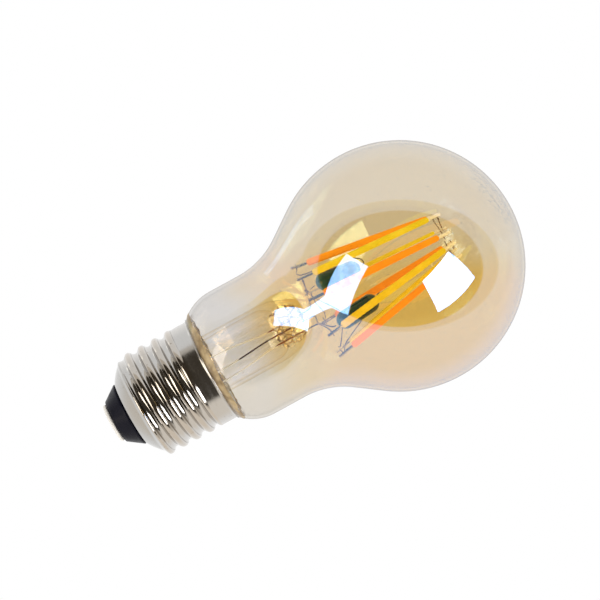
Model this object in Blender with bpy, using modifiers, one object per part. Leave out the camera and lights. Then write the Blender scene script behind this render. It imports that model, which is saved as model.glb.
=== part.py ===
"""Smart filament light bulb: A60 amber glass globe on an E27 screw cap, two channels of LED filaments.

+Z runs along the bulb's axis from the centre contact to the top of the globe.  The origin is the
centre of the contact's flat face.  -Y is the bulb's front.  All lengths are in metres.
"""
from math import atan2, cos, hypot, pi, radians, sin, sqrt

import bmesh
import bpy
from mathutils import Matrix, Vector

MM = 0.001
GAP = 0.3 * MM                      # air between neighbouring pieces
ROUND_STEPS = 32                    # facets round the large turned pieces
SMALL_STEPS = 16                    # facets round the small turned pieces

# Glass envelope
GLOBE_RADIUS = 30.0 * MM
GLOBE_CENTRE_Z = 78.6 * MM
NECK_RADIUS = 16.5 * MM
CONE_ANGLE = radians(35.2)          # slope of the straight part between neck and globe
NECK_FILLET = 20.0 * MM             # concave radius where the neck opens into that slope
SHOULDER_RADIUS = 11.4 * MM         # convex radius that brings the neck in to the cap
SHOULDER_Z = 35.5 * MM
SHOULDER_END_Z = 29.4 * MM
TAIL_RADIUS = 11.1 * MM             # the part of the neck hidden in the cap
TAIL_Z = 20.5 * MM
GLASS_WALL = 0.7 * MM

# Stem: flare tube and press
STEM_X = -0.7 * MM                  # the stem sits a little off the bulb's axis
STEM_RADIUS = 7.4 * MM
STEM_WALL = 0.9 * MM
FLARE_RADIUS = 9.5 * MM
FLARE_Z = 20.8 * MM
FLARE_TOP_Z = 28.0 * MM
PRESS_START_Z = 42.5 * MM           # where the tube starts to close in
PRESS_FULL_Z = 50.5 * MM
PRESS_TOP_Z = 54.8 * MM
PRESS_FLATNESS = 0.34               # depth of the press as a share of its width
HOLLOW_TOP_Z = 47.8 * MM
EXHAUST_X = -4.4 * MM
EXHAUST_RADIUS = 1.5 * MM
EXHAUST_WALL = 0.5 * MM

# E27 screw cap
RIM_Z = 27.5 * MM
RIM_RADIUS = 13.3 * MM
COLLAR_RADIUS = 12.92 * MM
COLLAR_Z = 23.6 * MM
THREAD_ROOT = 12.1 * MM
THREAD_DEPTH = 1.05 * MM
THREAD_PITCH = 3.629 * MM
THREAD_CREST_Z = 12.95 * MM         # height of a crest on the +X side
THREAD_TOP_Z = 21.8 * MM
THREAD_FOOT_Z = 9.0 * MM
THREAD_RUNOUT = 1.2 * MM            # height in which the lowest turn dies away
SHELL_WALL = 0.35 * MM
ROWS_PER_PITCH = 6

# Insulator and centre contact
INSULATOR_TOP_RADIUS = 8.0 * MM
INSULATOR_FOOT_RADIUS = 5.3 * MM
INSULATOR_FOOT_Z = 1.0 * MM
INSULATOR_TOP_Z = 7.7 * MM
INSULATOR_BORE = 1.3 * MM
CONTACT_RADIUS = 4.8 * MM
CONTACT_HEIGHT = 0.8 * MM
EYELET_RADIUS = 0.9 * MM
EYELET_TOP_Z = 3.4 * MM

# Filament cage
PHOSPHOR_FOOT_Z = 59.4 * MM
PHOSPHOR_TOP_Z = 90.0 * MM
CAGE_FOOT_RADIUS = 11.7 * MM
CAGE_TOP_RADIUS = 6.5 * MM
CAGE_TOP_SHIFT = -1.2 * MM          # the cage leans a little to -X
CAGE_TILT = 0.085                   # and its front stands higher than its back: rise per length
PHOSPHOR_RADIUS = 0.92 * MM         # half the width of the flat phosphor rod
PHOSPHOR_FLATNESS = 0.55            # its thickness as a share of its width
PHOSPHOR_ROUNDING = 0.9 * MM
TAB_WIDTH = 0.75 * MM
TAB_THICKNESS = 0.3 * MM
TAB_REACH = {"top": 3.0 * MM, "foot": 4.0 * MM}     # bare metal beyond the phosphor
# Where each filament stands: angles of its foot, of its top and of the way its flat side faces,
# all from the front towards +X
COOL_STANDS = {1: (-47, -54, -30), 2: (30, 27, 15), 3: (120, 134, 75), 4: (203, 196, 282)}
WARM_STANDS = {1: (255, 238, -28), 2: (-15, -3, -10), 3: (165, 158, 165), 4: (75, 90, 32)}
WIRE_RADIUS = 0.22 * MM             # the three leads
LINK_RADIUS = 0.15 * MM             # the thinner wires between filaments and resistors
COOL_LINK_REACH = 0.9 * MM          # from a tab's tip back to the wire welded across it
WARM_LINK_REACH = 1.9 * MM
FOOT_REACH = 1.3 * MM
WELD_STUB = 1.1 * MM                # length of wire to each side of the middle of a tab
LEAD_Y = -0.6 * MM
PRESS_LEADS_X = {"common": -1.2 * MM, "cool": 0.5 * MM, "warm": 2.6 * MM}

# Ballast resistors inside the cage
RESISTOR_RADIUS = 2.3 * MM
RESISTOR_LENGTH = 11.4 * MM
RESISTOR_Z = 64.6 * MM
RESISTOR_X = {1: -5.0 * MM, 2: 4.7 * MM}
RESISTOR_LEAN = {1: radians(6.8), 2: radians(-4.5)}

# Driver in the cap
BOARD_FOOT_Z = 8.9 * MM
BOARD_TOP_Z = 19.6 * MM
BOARD_WIDTH = 19.0 * MM
BOARD_THICKNESS = 1.0 * MM
SLEEVE_RADIUS = 11.2 * MM
SLEEVE_WALL = 0.3 * MM
SLEEVE_TOP_Z = 18.2 * MM
MODULE_Y = 4.0 * MM
MODULE_WIDTH = 14.0 * MM
MODULE_THICKNESS = 0.8 * MM
LEAD_START_Z = BOARD_TOP_Z + 2 * GAP

OBJECT_NAME = "smart_light_bulb"


# ---------------------------------------------------------------- tools

def clear_scene():
    for old in list(bpy.data.objects):
        bpy.data.objects.remove(old, do_unlink=True)


def new_collection(name):
    group = bpy.data.collections.new(name)
    bpy.context.scene.collection.children.link(group)
    return group


def new_material(name, colour, roughness, metallic=0.0):
    mat = bpy.data.materials.new(name)
    mat.use_nodes = True
    shader = mat.node_tree.nodes["Principled BSDF"]
    shader.inputs["Base Color"].default_value = (*colour, 1.0)
    shader.inputs["Roughness"].default_value = roughness
    shader.inputs["Metallic"].default_value = metallic
    mat.diffuse_color = (*colour, 1.0)
    return mat


def add_object(name, data, finish, group=None):
    """Put mesh or curve data in the part's collection with a material of its own."""
    obj = bpy.data.objects.new(name, data)
    (group or PARTS).objects.link(obj)
    data.materials.append(new_material(name, *finish))
    return obj


def smooth(obj):
    obj.data.shade_smooth()
    obj.data.set_sharp_from_angle(angle=radians(40))


def arc(centre, radius, start, end, count):
    """Points on a circle in the (radius, height) plane, from one angle to another."""
    step = (end - start) / count
    angles = [start + i * step for i in range(count + 1)]
    return [(centre[0] + radius * cos(a), centre[1] + radius * sin(a)) for a in angles]


def turned(name, outline, finish, closed=True, steps=ROUND_STEPS):
    """Revolve an outline of (radius, height) points, which runs down the outer side first."""
    mesh = bpy.data.meshes.new(name)
    last = len(outline) - 1
    edges = [(i, i + 1) for i in range(last)]
    if closed:
        edges.append((last, 0))
    mesh.from_pydata([(r, 0.0, z) for r, z in outline], edges, [])
    obj = add_object(name, mesh, finish)
    screw = obj.modifiers.new("Turn", "SCREW")
    screw.axis = "Z"
    screw.steps = steps
    screw.render_steps = steps
    screw.use_merge_vertices = True
    screw.merge_threshold = 0.00001
    screw.use_normal_calculate = False
    return obj


def bake(obj):
    """Replace an object's modifiers or curve by the mesh that they make."""
    graph = bpy.context.evaluated_depsgraph_get()
    mesh = bpy.data.meshes.new_from_object(obj.evaluated_get(graph))
    if obj.type == "MESH":
        obj.modifiers.clear()
        obj.data = mesh
        return obj
    edit = bmesh.new()
    edit.from_mesh(mesh)
    bmesh.ops.remove_doubles(edit, verts=edit.verts, dist=0.00001)
    edit.to_mesh(mesh)
    edit.free()
    solid = bpy.data.objects.new(obj.name, mesh)
    solid.matrix_world = obj.matrix_world
    obj.users_collection[0].objects.link(solid)
    bpy.data.objects.remove(obj, do_unlink=True)
    return solid


def block(name, size, centre, finish, bevel=0.0, group=None):
    """A box with its size applied to the mesh, and its edges bevelled if asked."""
    edit = bmesh.new()
    bmesh.ops.create_cube(edit, size=1.0)
    bmesh.ops.scale(edit, vec=Vector(size), verts=edit.verts)
    mesh = bpy.data.meshes.new(name)
    edit.to_mesh(mesh)
    edit.free()
    obj = add_object(name, mesh, finish, group)
    obj.location = centre
    if bevel:
        edge = obj.modifiers.new("Edge", "BEVEL")
        edge.width = bevel
        edge.segments = 1
    return obj


def wire(name, points, finish, radius=WIRE_RADIUS, group=None):
    """A round wire through the points, with flat ends."""
    curve = bpy.data.curves.new(name, "CURVE")
    curve.dimensions = "3D"
    curve.bevel_depth = radius
    curve.bevel_resolution = 1
    curve.use_fill_caps = True
    spline = curve.splines.new("POLY")
    spline.points.add(len(points) - 1)
    for point, place in zip(spline.points, points):
        point.co = (*place, 1.0)
    return add_object(name, curve, finish, group)


def cut(obj, cutter):
    """Take the cutter's space out of an object, and keep the cutter as a guide."""
    cutter.hide_render = True
    cutter.display_type = "WIRE"
    hole = obj.modifiers.new("Cut", "BOOLEAN")
    hole.operation = "DIFFERENCE"
    hole.object = cutter


def rounded_path(points, corner):
    """The same path with each inner corner replaced by two points, as a bent wire has."""
    path = [Vector(points[0])]
    for before, here, after in zip(points, points[1:], points[2:]):
        here = Vector(here)
        for other in (Vector(before), Vector(after)):
            arm = other - here
            path.append(here + arm * min(corner / arm.length, 0.45))
    path.append(Vector(points[-1]))
    return path


def mm(*values):
    return Vector(values) * MM


# ---------------------------------------------------------------- glass

GLASS = ((0.87, 0.76, 0.55), 0.05)
CLEAR_GLASS = ((0.90, 0.88, 0.82), 0.05)


def envelope_outer():
    """Outer outline of the globe, slope, neck and shoulder, from the pole down."""
    globe = arc((0.0, GLOBE_CENTRE_Z), GLOBE_RADIUS, pi / 2, -CONE_ANGLE, 14)
    globe[0] = (0.0, GLOBE_CENTRE_Z + GLOBE_RADIUS)
    last_r, last_z = globe[-1]
    fillet_r = NECK_RADIUS + NECK_FILLET
    meet_r = fillet_r - NECK_FILLET * cos(CONE_ANGLE)
    meet_z = last_z - (last_r - meet_r) * cos(CONE_ANGLE) / sin(CONE_ANGLE)
    fillet_z = meet_z - NECK_FILLET * sin(CONE_ANGLE)
    fillet = arc((fillet_r, fillet_z), NECK_FILLET, pi - CONE_ANGLE, pi, 5)
    shoulder_r = NECK_RADIUS - SHOULDER_RADIUS
    drop = atan2(SHOULDER_Z - SHOULDER_END_Z,
                 sqrt(SHOULDER_RADIUS ** 2 - (SHOULDER_Z - SHOULDER_END_Z) ** 2))
    shoulder = arc((shoulder_r, SHOULDER_Z), SHOULDER_RADIUS, 0.0, -drop, 4)
    return globe + fillet + shoulder


def make_envelope():
    outer = envelope_outer()
    tail = [(12.0 * MM, 28.0 * MM), (TAIL_RADIUS, 26.0 * MM), (TAIL_RADIUS, TAIL_Z)]
    inner_tail = [(TAIL_RADIUS - GLASS_WALL, z) for z in (TAIL_Z, 26.2 * MM)]
    inner_tail.append((11.6 * MM, 28.6 * MM))
    inner = []
    for (r0, z0), (r1, z1) in zip(outer[1:], outer[2:]):
        slope = Vector((r1 - r0, z1 - z0)).normalized()
        inner.append(((r0 + r1) / 2 + slope.y * GLASS_WALL, (z0 + z1) / 2 - slope.x * GLASS_WALL))
    inner.insert(0, (0.0, outer[0][1] - GLASS_WALL))
    turned("glass_envelope", outer + tail + inner_tail + inner[::-1], GLASS, closed=False)


def dome(radius, height):
    """Quarter ellipse over the stem's tube, from the pole down."""
    turns = [i * pi / 12 for i in range(7)]
    return [(radius * sin(a), PRESS_START_Z + height * cos(a)) for a in turns]


def make_stem():
    """Flared tube, squeezed flat at the top into the press that holds the lead wires."""
    flare = [(7.7 * MM, 25.4 * MM), (8.4 * MM, 22.8 * MM), (FLARE_RADIUS, FLARE_Z)]
    inner_flare = [(r - STEM_WALL, z + 0.3 * MM) for r, z in reversed(flare)]
    inner_flare[0] = (FLARE_RADIUS - STEM_WALL, FLARE_Z)
    outer = dome(STEM_RADIUS, PRESS_TOP_Z - PRESS_START_Z) + [(STEM_RADIUS, FLARE_TOP_Z)]
    hollow = dome(STEM_RADIUS - STEM_WALL, HOLLOW_TOP_Z - PRESS_START_Z)
    inner = [(STEM_RADIUS - STEM_WALL, FLARE_TOP_Z)] + hollow[::-1]
    stem = bake(turned("glass_stem", outer + flare + inner_flare + inner, CLEAR_GLASS, closed=False))
    for vertex in stem.data.vertices:
        share = (vertex.co.z - PRESS_START_Z) / (PRESS_FULL_Z - PRESS_START_Z)
        share = min(max(share, 0.0), 1.0)
        ease = share * share * (3.0 - 2.0 * share)
        vertex.co.y *= 1.0 - ease * (1.0 - PRESS_FLATNESS)
    stem.location.x = STEM_X
    bores = [(x, LEAD_Y, WIRE_RADIUS + GAP) for x in PRESS_LEADS_X.values()]
    bores.append((EXHAUST_X, 0.0, 0.6 * MM))
    for number, (x, y, radius) in enumerate(bores, 1):
        ends = [(x, y, 42.0 * MM), (x, y, PRESS_TOP_Z + 1.0 * MM)]
        tool = wire(f"press_bore_{number}", ends, CLEAR_GLASS, radius, CUTTERS)
        cut(stem, bake(tool))


def make_exhaust_tube():
    """Pumping tube under the press, open at the top and melted shut at the bottom."""
    top, foot = 44.6 * MM, 22.0 * MM
    inner = EXHAUST_RADIUS - EXHAUST_WALL
    outline = [(0.0, foot + 1.6 * MM), (inner, foot + 2.8 * MM), (inner, top), (EXHAUST_RADIUS, top),
               (EXHAUST_RADIUS, foot + 2.0 * MM), (0.8 * MM, foot + 0.5 * MM), (0.0, foot)]
    tube = turned("exhaust_tube", outline, CLEAR_GLASS, closed=False, steps=SMALL_STEPS)
    tube.location.x = EXHAUST_X


# ---------------------------------------------------------------- screw cap

NICKEL = ((0.72, 0.69, 0.64), 0.22, 1.0)
CEMENT = ((0.50, 0.36, 0.17), 0.6)
BLACK_GLASS = ((0.015, 0.017, 0.02), 0.12)


def thread_lift(z, angle):
    """Height of the rolled thread above its root, which fades out at both ends."""
    crest = THREAD_CREST_Z + THREAD_PITCH * angle / (2 * pi)
    wave = 0.5 + 0.5 * cos(2 * pi * (z - crest) / THREAD_PITCH)
    top = min(max((COLLAR_Z - z) / (COLLAR_Z - THREAD_TOP_Z), 0.0), 1.0)
    foot = min(max((z - THREAD_FOOT_Z) / THREAD_RUNOUT + 1.0, 0.0), 1.0)
    return THREAD_DEPTH * wave * top * foot


def make_screw_shell():
    """Rolled sheet shell: rim, collar, right-hand thread and rounded shoulder."""
    collar = [(RIM_RADIUS, RIM_Z), (13.02 * MM, 27.1 * MM), (COLLAR_RADIUS, 26.3 * MM),
              (COLLAR_RADIUS, COLLAR_Z)]
    rows = round((THREAD_TOP_Z - THREAD_FOOT_Z) / THREAD_PITCH * ROWS_PER_PITCH)
    step = (THREAD_TOP_Z - THREAD_FOOT_Z) / rows
    thread = [(THREAD_ROOT, THREAD_TOP_Z - i * step) for i in range(rows + 1)]
    shoulder = [(11.85 * MM, 8.3 * MM), (11.2 * MM, 7.5 * MM), (10.2 * MM, 6.6 * MM),
                (9.1 * MM, 5.75 * MM), (8.25 * MM, 5.2 * MM)]
    shell = bake(turned("screw_shell", collar + thread + shoulder, NICKEL, closed=False))
    for vertex in shell.data.vertices:
        x, y, z = vertex.co
        grow = 1.0 + thread_lift(z, atan2(y, x)) / hypot(x, y)
        vertex.co.x *= grow
        vertex.co.y *= grow
    wall = shell.modifiers.new("Wall", "SOLIDIFY")
    wall.thickness = SHELL_WALL
    wall.offset = -1.0


def make_cement():
    """Ring of basing cement between the cap and the glass, squeezed out above the rim."""
    outline = [(14.15 * MM, 28.75 * MM), (13.75 * MM, 28.2 * MM), (13.25 * MM, 27.9 * MM),
               (12.5 * MM, 27.75 * MM), (12.25 * MM, 27.0 * MM), (12.15 * MM, 23.4 * MM),
               (11.5 * MM, 23.4 * MM), (11.5 * MM, 25.9 * MM), (12.15 * MM, 27.6 * MM),
               (13.1 * MM, 28.2 * MM)]
    turned("basing_cement", outline, CEMENT)


def make_insulator():
    """Black vitrified glass button that carries the contact and closes the shell."""
    outline = [(9.4 * MM, INSULATOR_TOP_Z), (9.95 * MM, 7.35 * MM), (7.6 * MM, 5.6 * MM),
               (7.6 * MM, 5.1 * MM), (INSULATOR_TOP_RADIUS, 4.8 * MM),
               (INSULATOR_FOOT_RADIUS, INSULATOR_FOOT_Z), (INSULATOR_BORE, INSULATOR_FOOT_Z),
               (INSULATOR_BORE, INSULATOR_TOP_Z)]
    turned("base_insulator", outline, BLACK_GLASS)


def make_contact():
    """Round contact plate with its flat face on z = 0 and an eyelet up through the insulator."""
    flat = CONTACT_RADIUS - 0.3 * MM
    outline = [(0.0, EYELET_TOP_Z), (EYELET_RADIUS, EYELET_TOP_Z), (EYELET_RADIUS, CONTACT_HEIGHT),
               (CONTACT_RADIUS, CONTACT_HEIGHT), (CONTACT_RADIUS, 0.3 * MM), (flat, 0.0), (0.0, 0.0)]
    turned("centre_contact", outline, ((0.66, 0.55, 0.38), 0.35, 1.0), closed=False)


# ---------------------------------------------------------------- filament cage

WARM = ((0.95, 0.40, 0.02), 0.45)
COOL = ((0.93, 0.72, 0.10), 0.45)
LEAD = ((0.42, 0.36, 0.28), 0.35, 1.0)


def cage_point(angle, radius, z, shift=0.0):
    turn = radians(angle)
    forward = radius * cos(turn)
    return Vector((shift + radius * sin(turn), -forward, z + forward * CAGE_TILT))


def filament_line(stand):
    """Foot and top of the phosphor of the filament that stands here."""
    foot_angle, top_angle, _ = stand
    foot = cage_point(foot_angle, CAGE_FOOT_RADIUS, PHOSPHOR_FOOT_Z)
    top = cage_point(top_angle, CAGE_TOP_RADIUS, PHOSPHOR_TOP_Z, CAGE_TOP_SHIFT)
    return foot, top


def filament_axes(stand):
    """Directions across a filament's tab, out of its flat side, and along the filament."""
    foot, top = filament_line(stand)
    along = (top - foot).normalized()
    facing = radians(stand[2])
    across = Vector((-cos(facing), -sin(facing), 0.0))
    across = (across - along * across.dot(along)).normalized()
    return across, along.cross(across), along


def weld_run(stand, end, reach, towards, radius=LINK_RADIUS):
    """Two points that carry a wire across the inner face of a tab, the far one first."""
    foot, top = filament_line(stand)
    across, outward, along = filament_axes(stand)
    if end == "top":
        spot = top + along * (TAB_REACH[end] - reach)
    else:
        spot = foot - along * (TAB_REACH[end] - reach)
    spot -= outward * (TAB_THICKNESS / 2 + GAP + radius)
    ends = [spot + across * WELD_STUB, spot - across * WELD_STUB]
    return sorted(ends, key=lambda place: -(place - towards).length)


def make_filament(name, stand, finish):
    """Flat phosphor rod on a metal strip, whose bare ends are the welding tabs."""
    foot, top = filament_line(stand)
    length = (top - foot).length
    half = length / 2
    tip = half - PHOSPHOR_ROUNDING
    outline = [(0.0, half), (PHOSPHOR_RADIUS * 0.75, half), (PHOSPHOR_RADIUS, tip),
               (PHOSPHOR_RADIUS, -tip), (PHOSPHOR_RADIUS * 0.75, -half), (0.0, -half)]
    rod = turned(name, outline, finish, closed=False, steps=10)
    strip = block(f"{name}_strip", (TAB_WIDTH, TAB_THICKNESS, length + sum(TAB_REACH.values())), (0, 0, 0),
                  LEAD, group=CUTTERS)
    join = rod.modifiers.new("Strip", "BOOLEAN")
    join.operation = "UNION"
    join.object = strip
    strip.hide_render = True
    strip.display_type = "WIRE"
    turn = Matrix(filament_axes(stand)).transposed().to_4x4()
    place = Matrix.Translation((foot + top) / 2) @ turn
    rod.matrix_world = place @ Matrix.Scale(PHOSPHOR_FLATNESS, 4, (0, 1, 0))
    lower = (TAB_REACH["foot"] - TAB_REACH["top"]) / 2
    strip.matrix_world = place @ Matrix.Translation((0, 0, -lower))


def link_path(first, second, end, reach, sag):
    """Path of a wire welded across two tabs, lifted by sag half-way."""
    centre_a = sum(filament_line(first), Vector()) / 2
    centre_b = sum(filament_line(second), Vector()) / 2
    run_a = weld_run(first, end, reach, centre_b)
    run_b = weld_run(second, end, reach, centre_a)
    middle = (run_a[1] + run_b[1]) / 2 + Vector((0, 0, sag))
    return rounded_path(run_a + [middle] + run_b[::-1], 0.7 * MM)


def make_links():
    """Wires that join neighbouring filaments of one channel into a string."""
    cool, warm = COOL_STANDS, WARM_STANDS
    links = (
        ("cool_top_link_1", cool[1], cool[4], "top", COOL_LINK_REACH, 0.0),
        ("cool_top_link_2", cool[2], cool[3], "top", COOL_LINK_REACH, 0.0),
        ("warm_top_link_1", warm[1], warm[2], "top", WARM_LINK_REACH, 0.0),
        ("warm_top_link_2", warm[3], warm[4], "top", WARM_LINK_REACH, 0.0),
        ("cool_foot_link", cool[3], cool[4], "foot", FOOT_REACH, 5.0 * MM),
        ("warm_foot_link", warm[2], warm[3], "foot", FOOT_REACH, 0.9 * MM),
    )
    for name, *path in links:
        wire(name, link_path(*path), LEAD, LINK_RADIUS)


def resistor_end(number, side):
    """Centre of a resistor's upper (+1) or lower (-1) end face."""
    lean = RESISTOR_LEAN[number]
    along = Vector((sin(lean), 0.0, cos(lean)))
    return mm(0, -0.5, 0) + Vector((RESISTOR_X[number], 0, RESISTOR_Z)) + along * side * RESISTOR_LENGTH / 2


def make_resistors():
    """Two enamelled ballast resistors that stand inside the cage on their own leads."""
    half = RESISTOR_LENGTH / 2
    dome = [(RESISTOR_RADIUS * sin(a), half - RESISTOR_RADIUS * (1 - cos(a)))
            for a in (0.0, pi / 6, pi / 3, pi / 2)]
    outline = dome + [(r, -z) for r, z in reversed(dome)]
    for number in (1, 2):
        body = turned(f"ballast_resistor_{number}", outline, ((0.02, 0.10, 0.07), 0.12),
                      closed=False, steps=SMALL_STEPS)
        body.location = (RESISTOR_X[number], -0.5 * MM, RESISTOR_Z)
        body.rotation_euler.y = RESISTOR_LEAN[number]


def make_resistor_loops():
    """Wires from the resistors' upper ends, each bent back down to the foot of a warm filament."""
    tip = resistor_end(1, 1) + mm(0, 0, 0.5)
    loop = [tip, mm(-4.6, -0.3, 71.7), mm(-6.3, 0.0, 71.2), mm(-7.9, 0.4, 67.5), mm(-8.6, 0.8, 62.0),
            mm(-9.2, 1.0, 57.6), mm(-9.5, 1.1, 56.2), mm(-10.5, 1.3, 55.7)]
    weld = weld_run(WARM_STANDS[1], "foot", FOOT_REACH, loop[-1])[::-1]
    wire("resistor_loop_1", rounded_path(loop + weld, 0.6 * MM), LEAD, LINK_RADIUS)
    tip = resistor_end(2, 1) + mm(0, 0, 0.5)
    loop = [tip, mm(3.7, 0.4, 71.5), mm(3.0, 1.6, 71.0), mm(6.2, 2.6, 66.0), mm(10.0, -0.2, 58.0)]
    weld = weld_run(WARM_STANDS[4], "foot", FOOT_REACH, loop[-1])[::-1]
    wire("resistor_loop_2", rounded_path(loop + weld, 0.6 * MM), LEAD, LINK_RADIUS)


def make_lead_ins():
    """The three leads from the board, through the press, to the filament cage."""
    top = PRESS_TOP_Z + 0.5 * MM

    def riser(channel, start_x):
        x = PRESS_LEADS_X[channel]
        knee = x + (start_x - x) * 0.6
        heights = ((start_x, LEAD_START_Z), (knee, 34.0 * MM), (x, 42.0 * MM), (x, top))
        return [Vector((across, LEAD_Y, z)) for across, z in heights]

    def finish(channel, start_x, bend, end):
        path = riser(channel, start_x) + [bend] + end
        wire(f"{channel}_lead", rounded_path(path, 0.5 * MM), LEAD)

    bead = mm(-5.1, -1.0, 56.3)
    weld = weld_run(COOL_STANDS[1], "foot", FOOT_REACH, bead, WIRE_RADIUS)
    finish("common", -3.0 * MM, bead, weld[::-1])
    bend = mm(2.6, -4.4, 55.2)
    weld = weld_run(COOL_STANDS[2], "foot", FOOT_REACH, bend, WIRE_RADIUS)
    finish("cool", 1.6 * MM, bend, weld[::-1])
    foot = resistor_end(2, -1)
    finish("warm", 4.4 * MM, foot + mm(0.1, 0, -1.4), [foot + mm(0, 0, -0.4)])
    foot = resistor_end(1, -1)
    wire("common_branch_lead", [bead + mm(-0.2, 0.3, 0.75), foot + mm(0, 0, -0.4)], LEAD, LINK_RADIUS)


# ---------------------------------------------------------------- driver in the cap

BOARD = ((0.05, 0.22, 0.10), 0.45)
CHIP = ((0.02, 0.02, 0.022), 0.4)
COPPER_WIRE = ((0.70, 0.18, 0.10), 0.5)
BARE_METAL = ((0.75, 0.75, 0.74), 0.3, 1.0)
BOARD_Z = (BOARD_FOOT_Z + BOARD_TOP_Z) / 2
BOARD_HEIGHT = BOARD_TOP_Z - BOARD_FOOT_Z


def upright_can(name, radius, height, centre, finish):
    """A short round component that stands upright, with a chamfered top edge."""
    half = height / 2
    chamfer = radius * 0.12
    outline = [(0.0, half), (radius - chamfer, half), (radius, half - chamfer), (radius, -half),
               (0.0, -half)]
    can = turned(name, outline, finish, closed=False, steps=SMALL_STEPS)
    can.location = centre
    return can


def make_driver():
    """Mains driver board that stands across the cap, with its parts on both faces."""
    block("driver_board", (BOARD_WIDTH, BOARD_THICKNESS, BOARD_HEIGHT), (0, 0, BOARD_Z), BOARD)
    front = -BOARD_THICKNESS / 2 - GAP
    back = BOARD_THICKNESS / 2 + GAP
    upright_can("bulk_capacitor", 3.1 * MM, 9.4 * MM, mm(-5.2, -4.1, 14.1), ((0.05, 0.06, 0.09), 0.35))
    upright_can("buck_inductor", 2.9 * MM, 5.0 * MM, mm(1.7, -3.9, 11.9), ((0.06, 0.06, 0.06), 0.6))
    block("bridge_rectifier", mm(4.2, 2.0, 4.6), (2.4 * MM, front - 1.0 * MM, 17.2 * MM), CHIP, 0.2 * MM)
    upright_can("fusible_resistor", 1.1 * MM, 6.0 * MM, mm(6.6, -3.0, 14.4), ((0.10, 0.30, 0.38), 0.4))
    block("driver_chip", mm(4.9, 1.5, 3.9), (-5.6 * MM, back + 0.75 * MM, 12.4 * MM), CHIP, 0.15 * MM)
    for number, x in enumerate((0.2, 4.4), 1):
        place = (x * MM, back + 0.6 * MM, 12.4 * MM)
        block(f"channel_mosfet_{number}", mm(2.9, 1.2, 3.0), place, CHIP, 0.12 * MM)


def make_wireless_module():
    """Radio board behind the driver board, with its shield can and whip antenna."""
    block("wireless_board", (MODULE_WIDTH, MODULE_THICKNESS, 9.6 * MM), (0, MODULE_Y, 14.4 * MM),
          ((0.03, 0.08, 0.22), 0.4))
    y = MODULE_Y + MODULE_THICKNESS / 2 + GAP + 0.9 * MM
    block("wireless_shield", mm(9.6, 1.8, 7.2), (-0.8 * MM, y, 13.6 * MM), BARE_METAL, 0.25 * MM)
    block("module_header", mm(7.6, 1.3, 1.6), (-0.4 * MM, MODULE_Y - 1.45 * MM, 17.8 * MM),
          ((0.04, 0.04, 0.04), 0.5))
    antenna = [mm(-3.4, 4.0, 19.8), mm(-3.4, 3.4, 21.6), mm(-3.2, 3.2, 26.6)]
    wire("antenna_wire", rounded_path(antenna, 0.6 * MM), COPPER_WIRE, 0.25 * MM)


def make_sleeve():
    inner = SLEEVE_RADIUS - SLEEVE_WALL
    outline = [(SLEEVE_RADIUS, SLEEVE_TOP_Z), (SLEEVE_RADIUS, BOARD_FOOT_Z), (inner, BOARD_FOOT_Z),
               (inner, SLEEVE_TOP_Z)]
    turned("insulating_sleeve", outline, ((0.85, 0.80, 0.55), 0.4))


def make_mains_wires():
    """Live wire from the contact's eyelet, and neutral wire to the inside of the shell."""
    live = [mm(0, 0, 3.75), mm(0, -0.3, 8.2), mm(4.2, -3.2, 8.9), mm(6.6, -3.0, 9.8), mm(6.6, -3.0, 11.0)]
    wire("live_wire", rounded_path(live, 0.8 * MM), COPPER_WIRE, 0.35 * MM)
    neutral = [mm(9.0, -0.95, 17.6), mm(9.4, -1.3, 19.2), mm(10.6, -1.3, 19.5), mm(11.3, -1.3, 19.5)]
    wire("neutral_wire", rounded_path(neutral, 0.5 * MM), ((0.08, 0.15, 0.45), 0.5), 0.3 * MM)


# ---------------------------------------------------------------- the bulb

clear_scene()
PARTS = new_collection(OBJECT_NAME)
CUTTERS = new_collection("cutters")

make_envelope()
make_stem()
make_exhaust_tube()
make_cement()
make_screw_shell()
make_insulator()
make_contact()
for number, stand in COOL_STANDS.items():
    make_filament(f"cool_filament_{number}", stand, COOL)
for number, stand in WARM_STANDS.items():
    make_filament(f"warm_filament_{number}", stand, WARM)
make_links()
make_resistors()
make_resistor_loops()
make_lead_ins()
make_driver()
make_wireless_module()
make_sleeve()
make_mains_wires()
for piece in PARTS.objects:
    if piece.type == "MESH":
        smooth(piece)
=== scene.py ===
"""Looks, studio and camera for the smart filament bulb.

The bulb stands on its contact, with +Z along its axis and -Y at its front.  Lengths are in metres.
"""

from math import atan2, cos, pi, radians, sin, sqrt

import bpy
import numpy as np
from mathutils import Matrix, Vector, noise


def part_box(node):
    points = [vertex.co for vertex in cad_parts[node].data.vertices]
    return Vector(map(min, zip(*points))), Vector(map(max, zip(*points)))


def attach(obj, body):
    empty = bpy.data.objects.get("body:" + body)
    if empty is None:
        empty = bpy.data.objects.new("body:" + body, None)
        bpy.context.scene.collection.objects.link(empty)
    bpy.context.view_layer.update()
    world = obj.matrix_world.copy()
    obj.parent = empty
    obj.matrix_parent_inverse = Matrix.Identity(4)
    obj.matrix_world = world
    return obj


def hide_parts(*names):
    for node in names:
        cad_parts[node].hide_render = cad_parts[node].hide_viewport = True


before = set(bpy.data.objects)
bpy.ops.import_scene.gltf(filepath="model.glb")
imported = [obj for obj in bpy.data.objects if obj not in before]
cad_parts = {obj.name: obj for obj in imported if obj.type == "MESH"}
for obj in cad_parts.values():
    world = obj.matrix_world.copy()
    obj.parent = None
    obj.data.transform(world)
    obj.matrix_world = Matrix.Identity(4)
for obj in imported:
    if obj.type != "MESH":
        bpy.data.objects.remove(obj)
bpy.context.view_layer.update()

MM = 0.001
SEED_STEP = 17.0  # shifts a noise, so that no two uses of it look alike
ON_AXIS = 1e-7  # a turned outline closes to one point where it is nearer the axis than this

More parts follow.
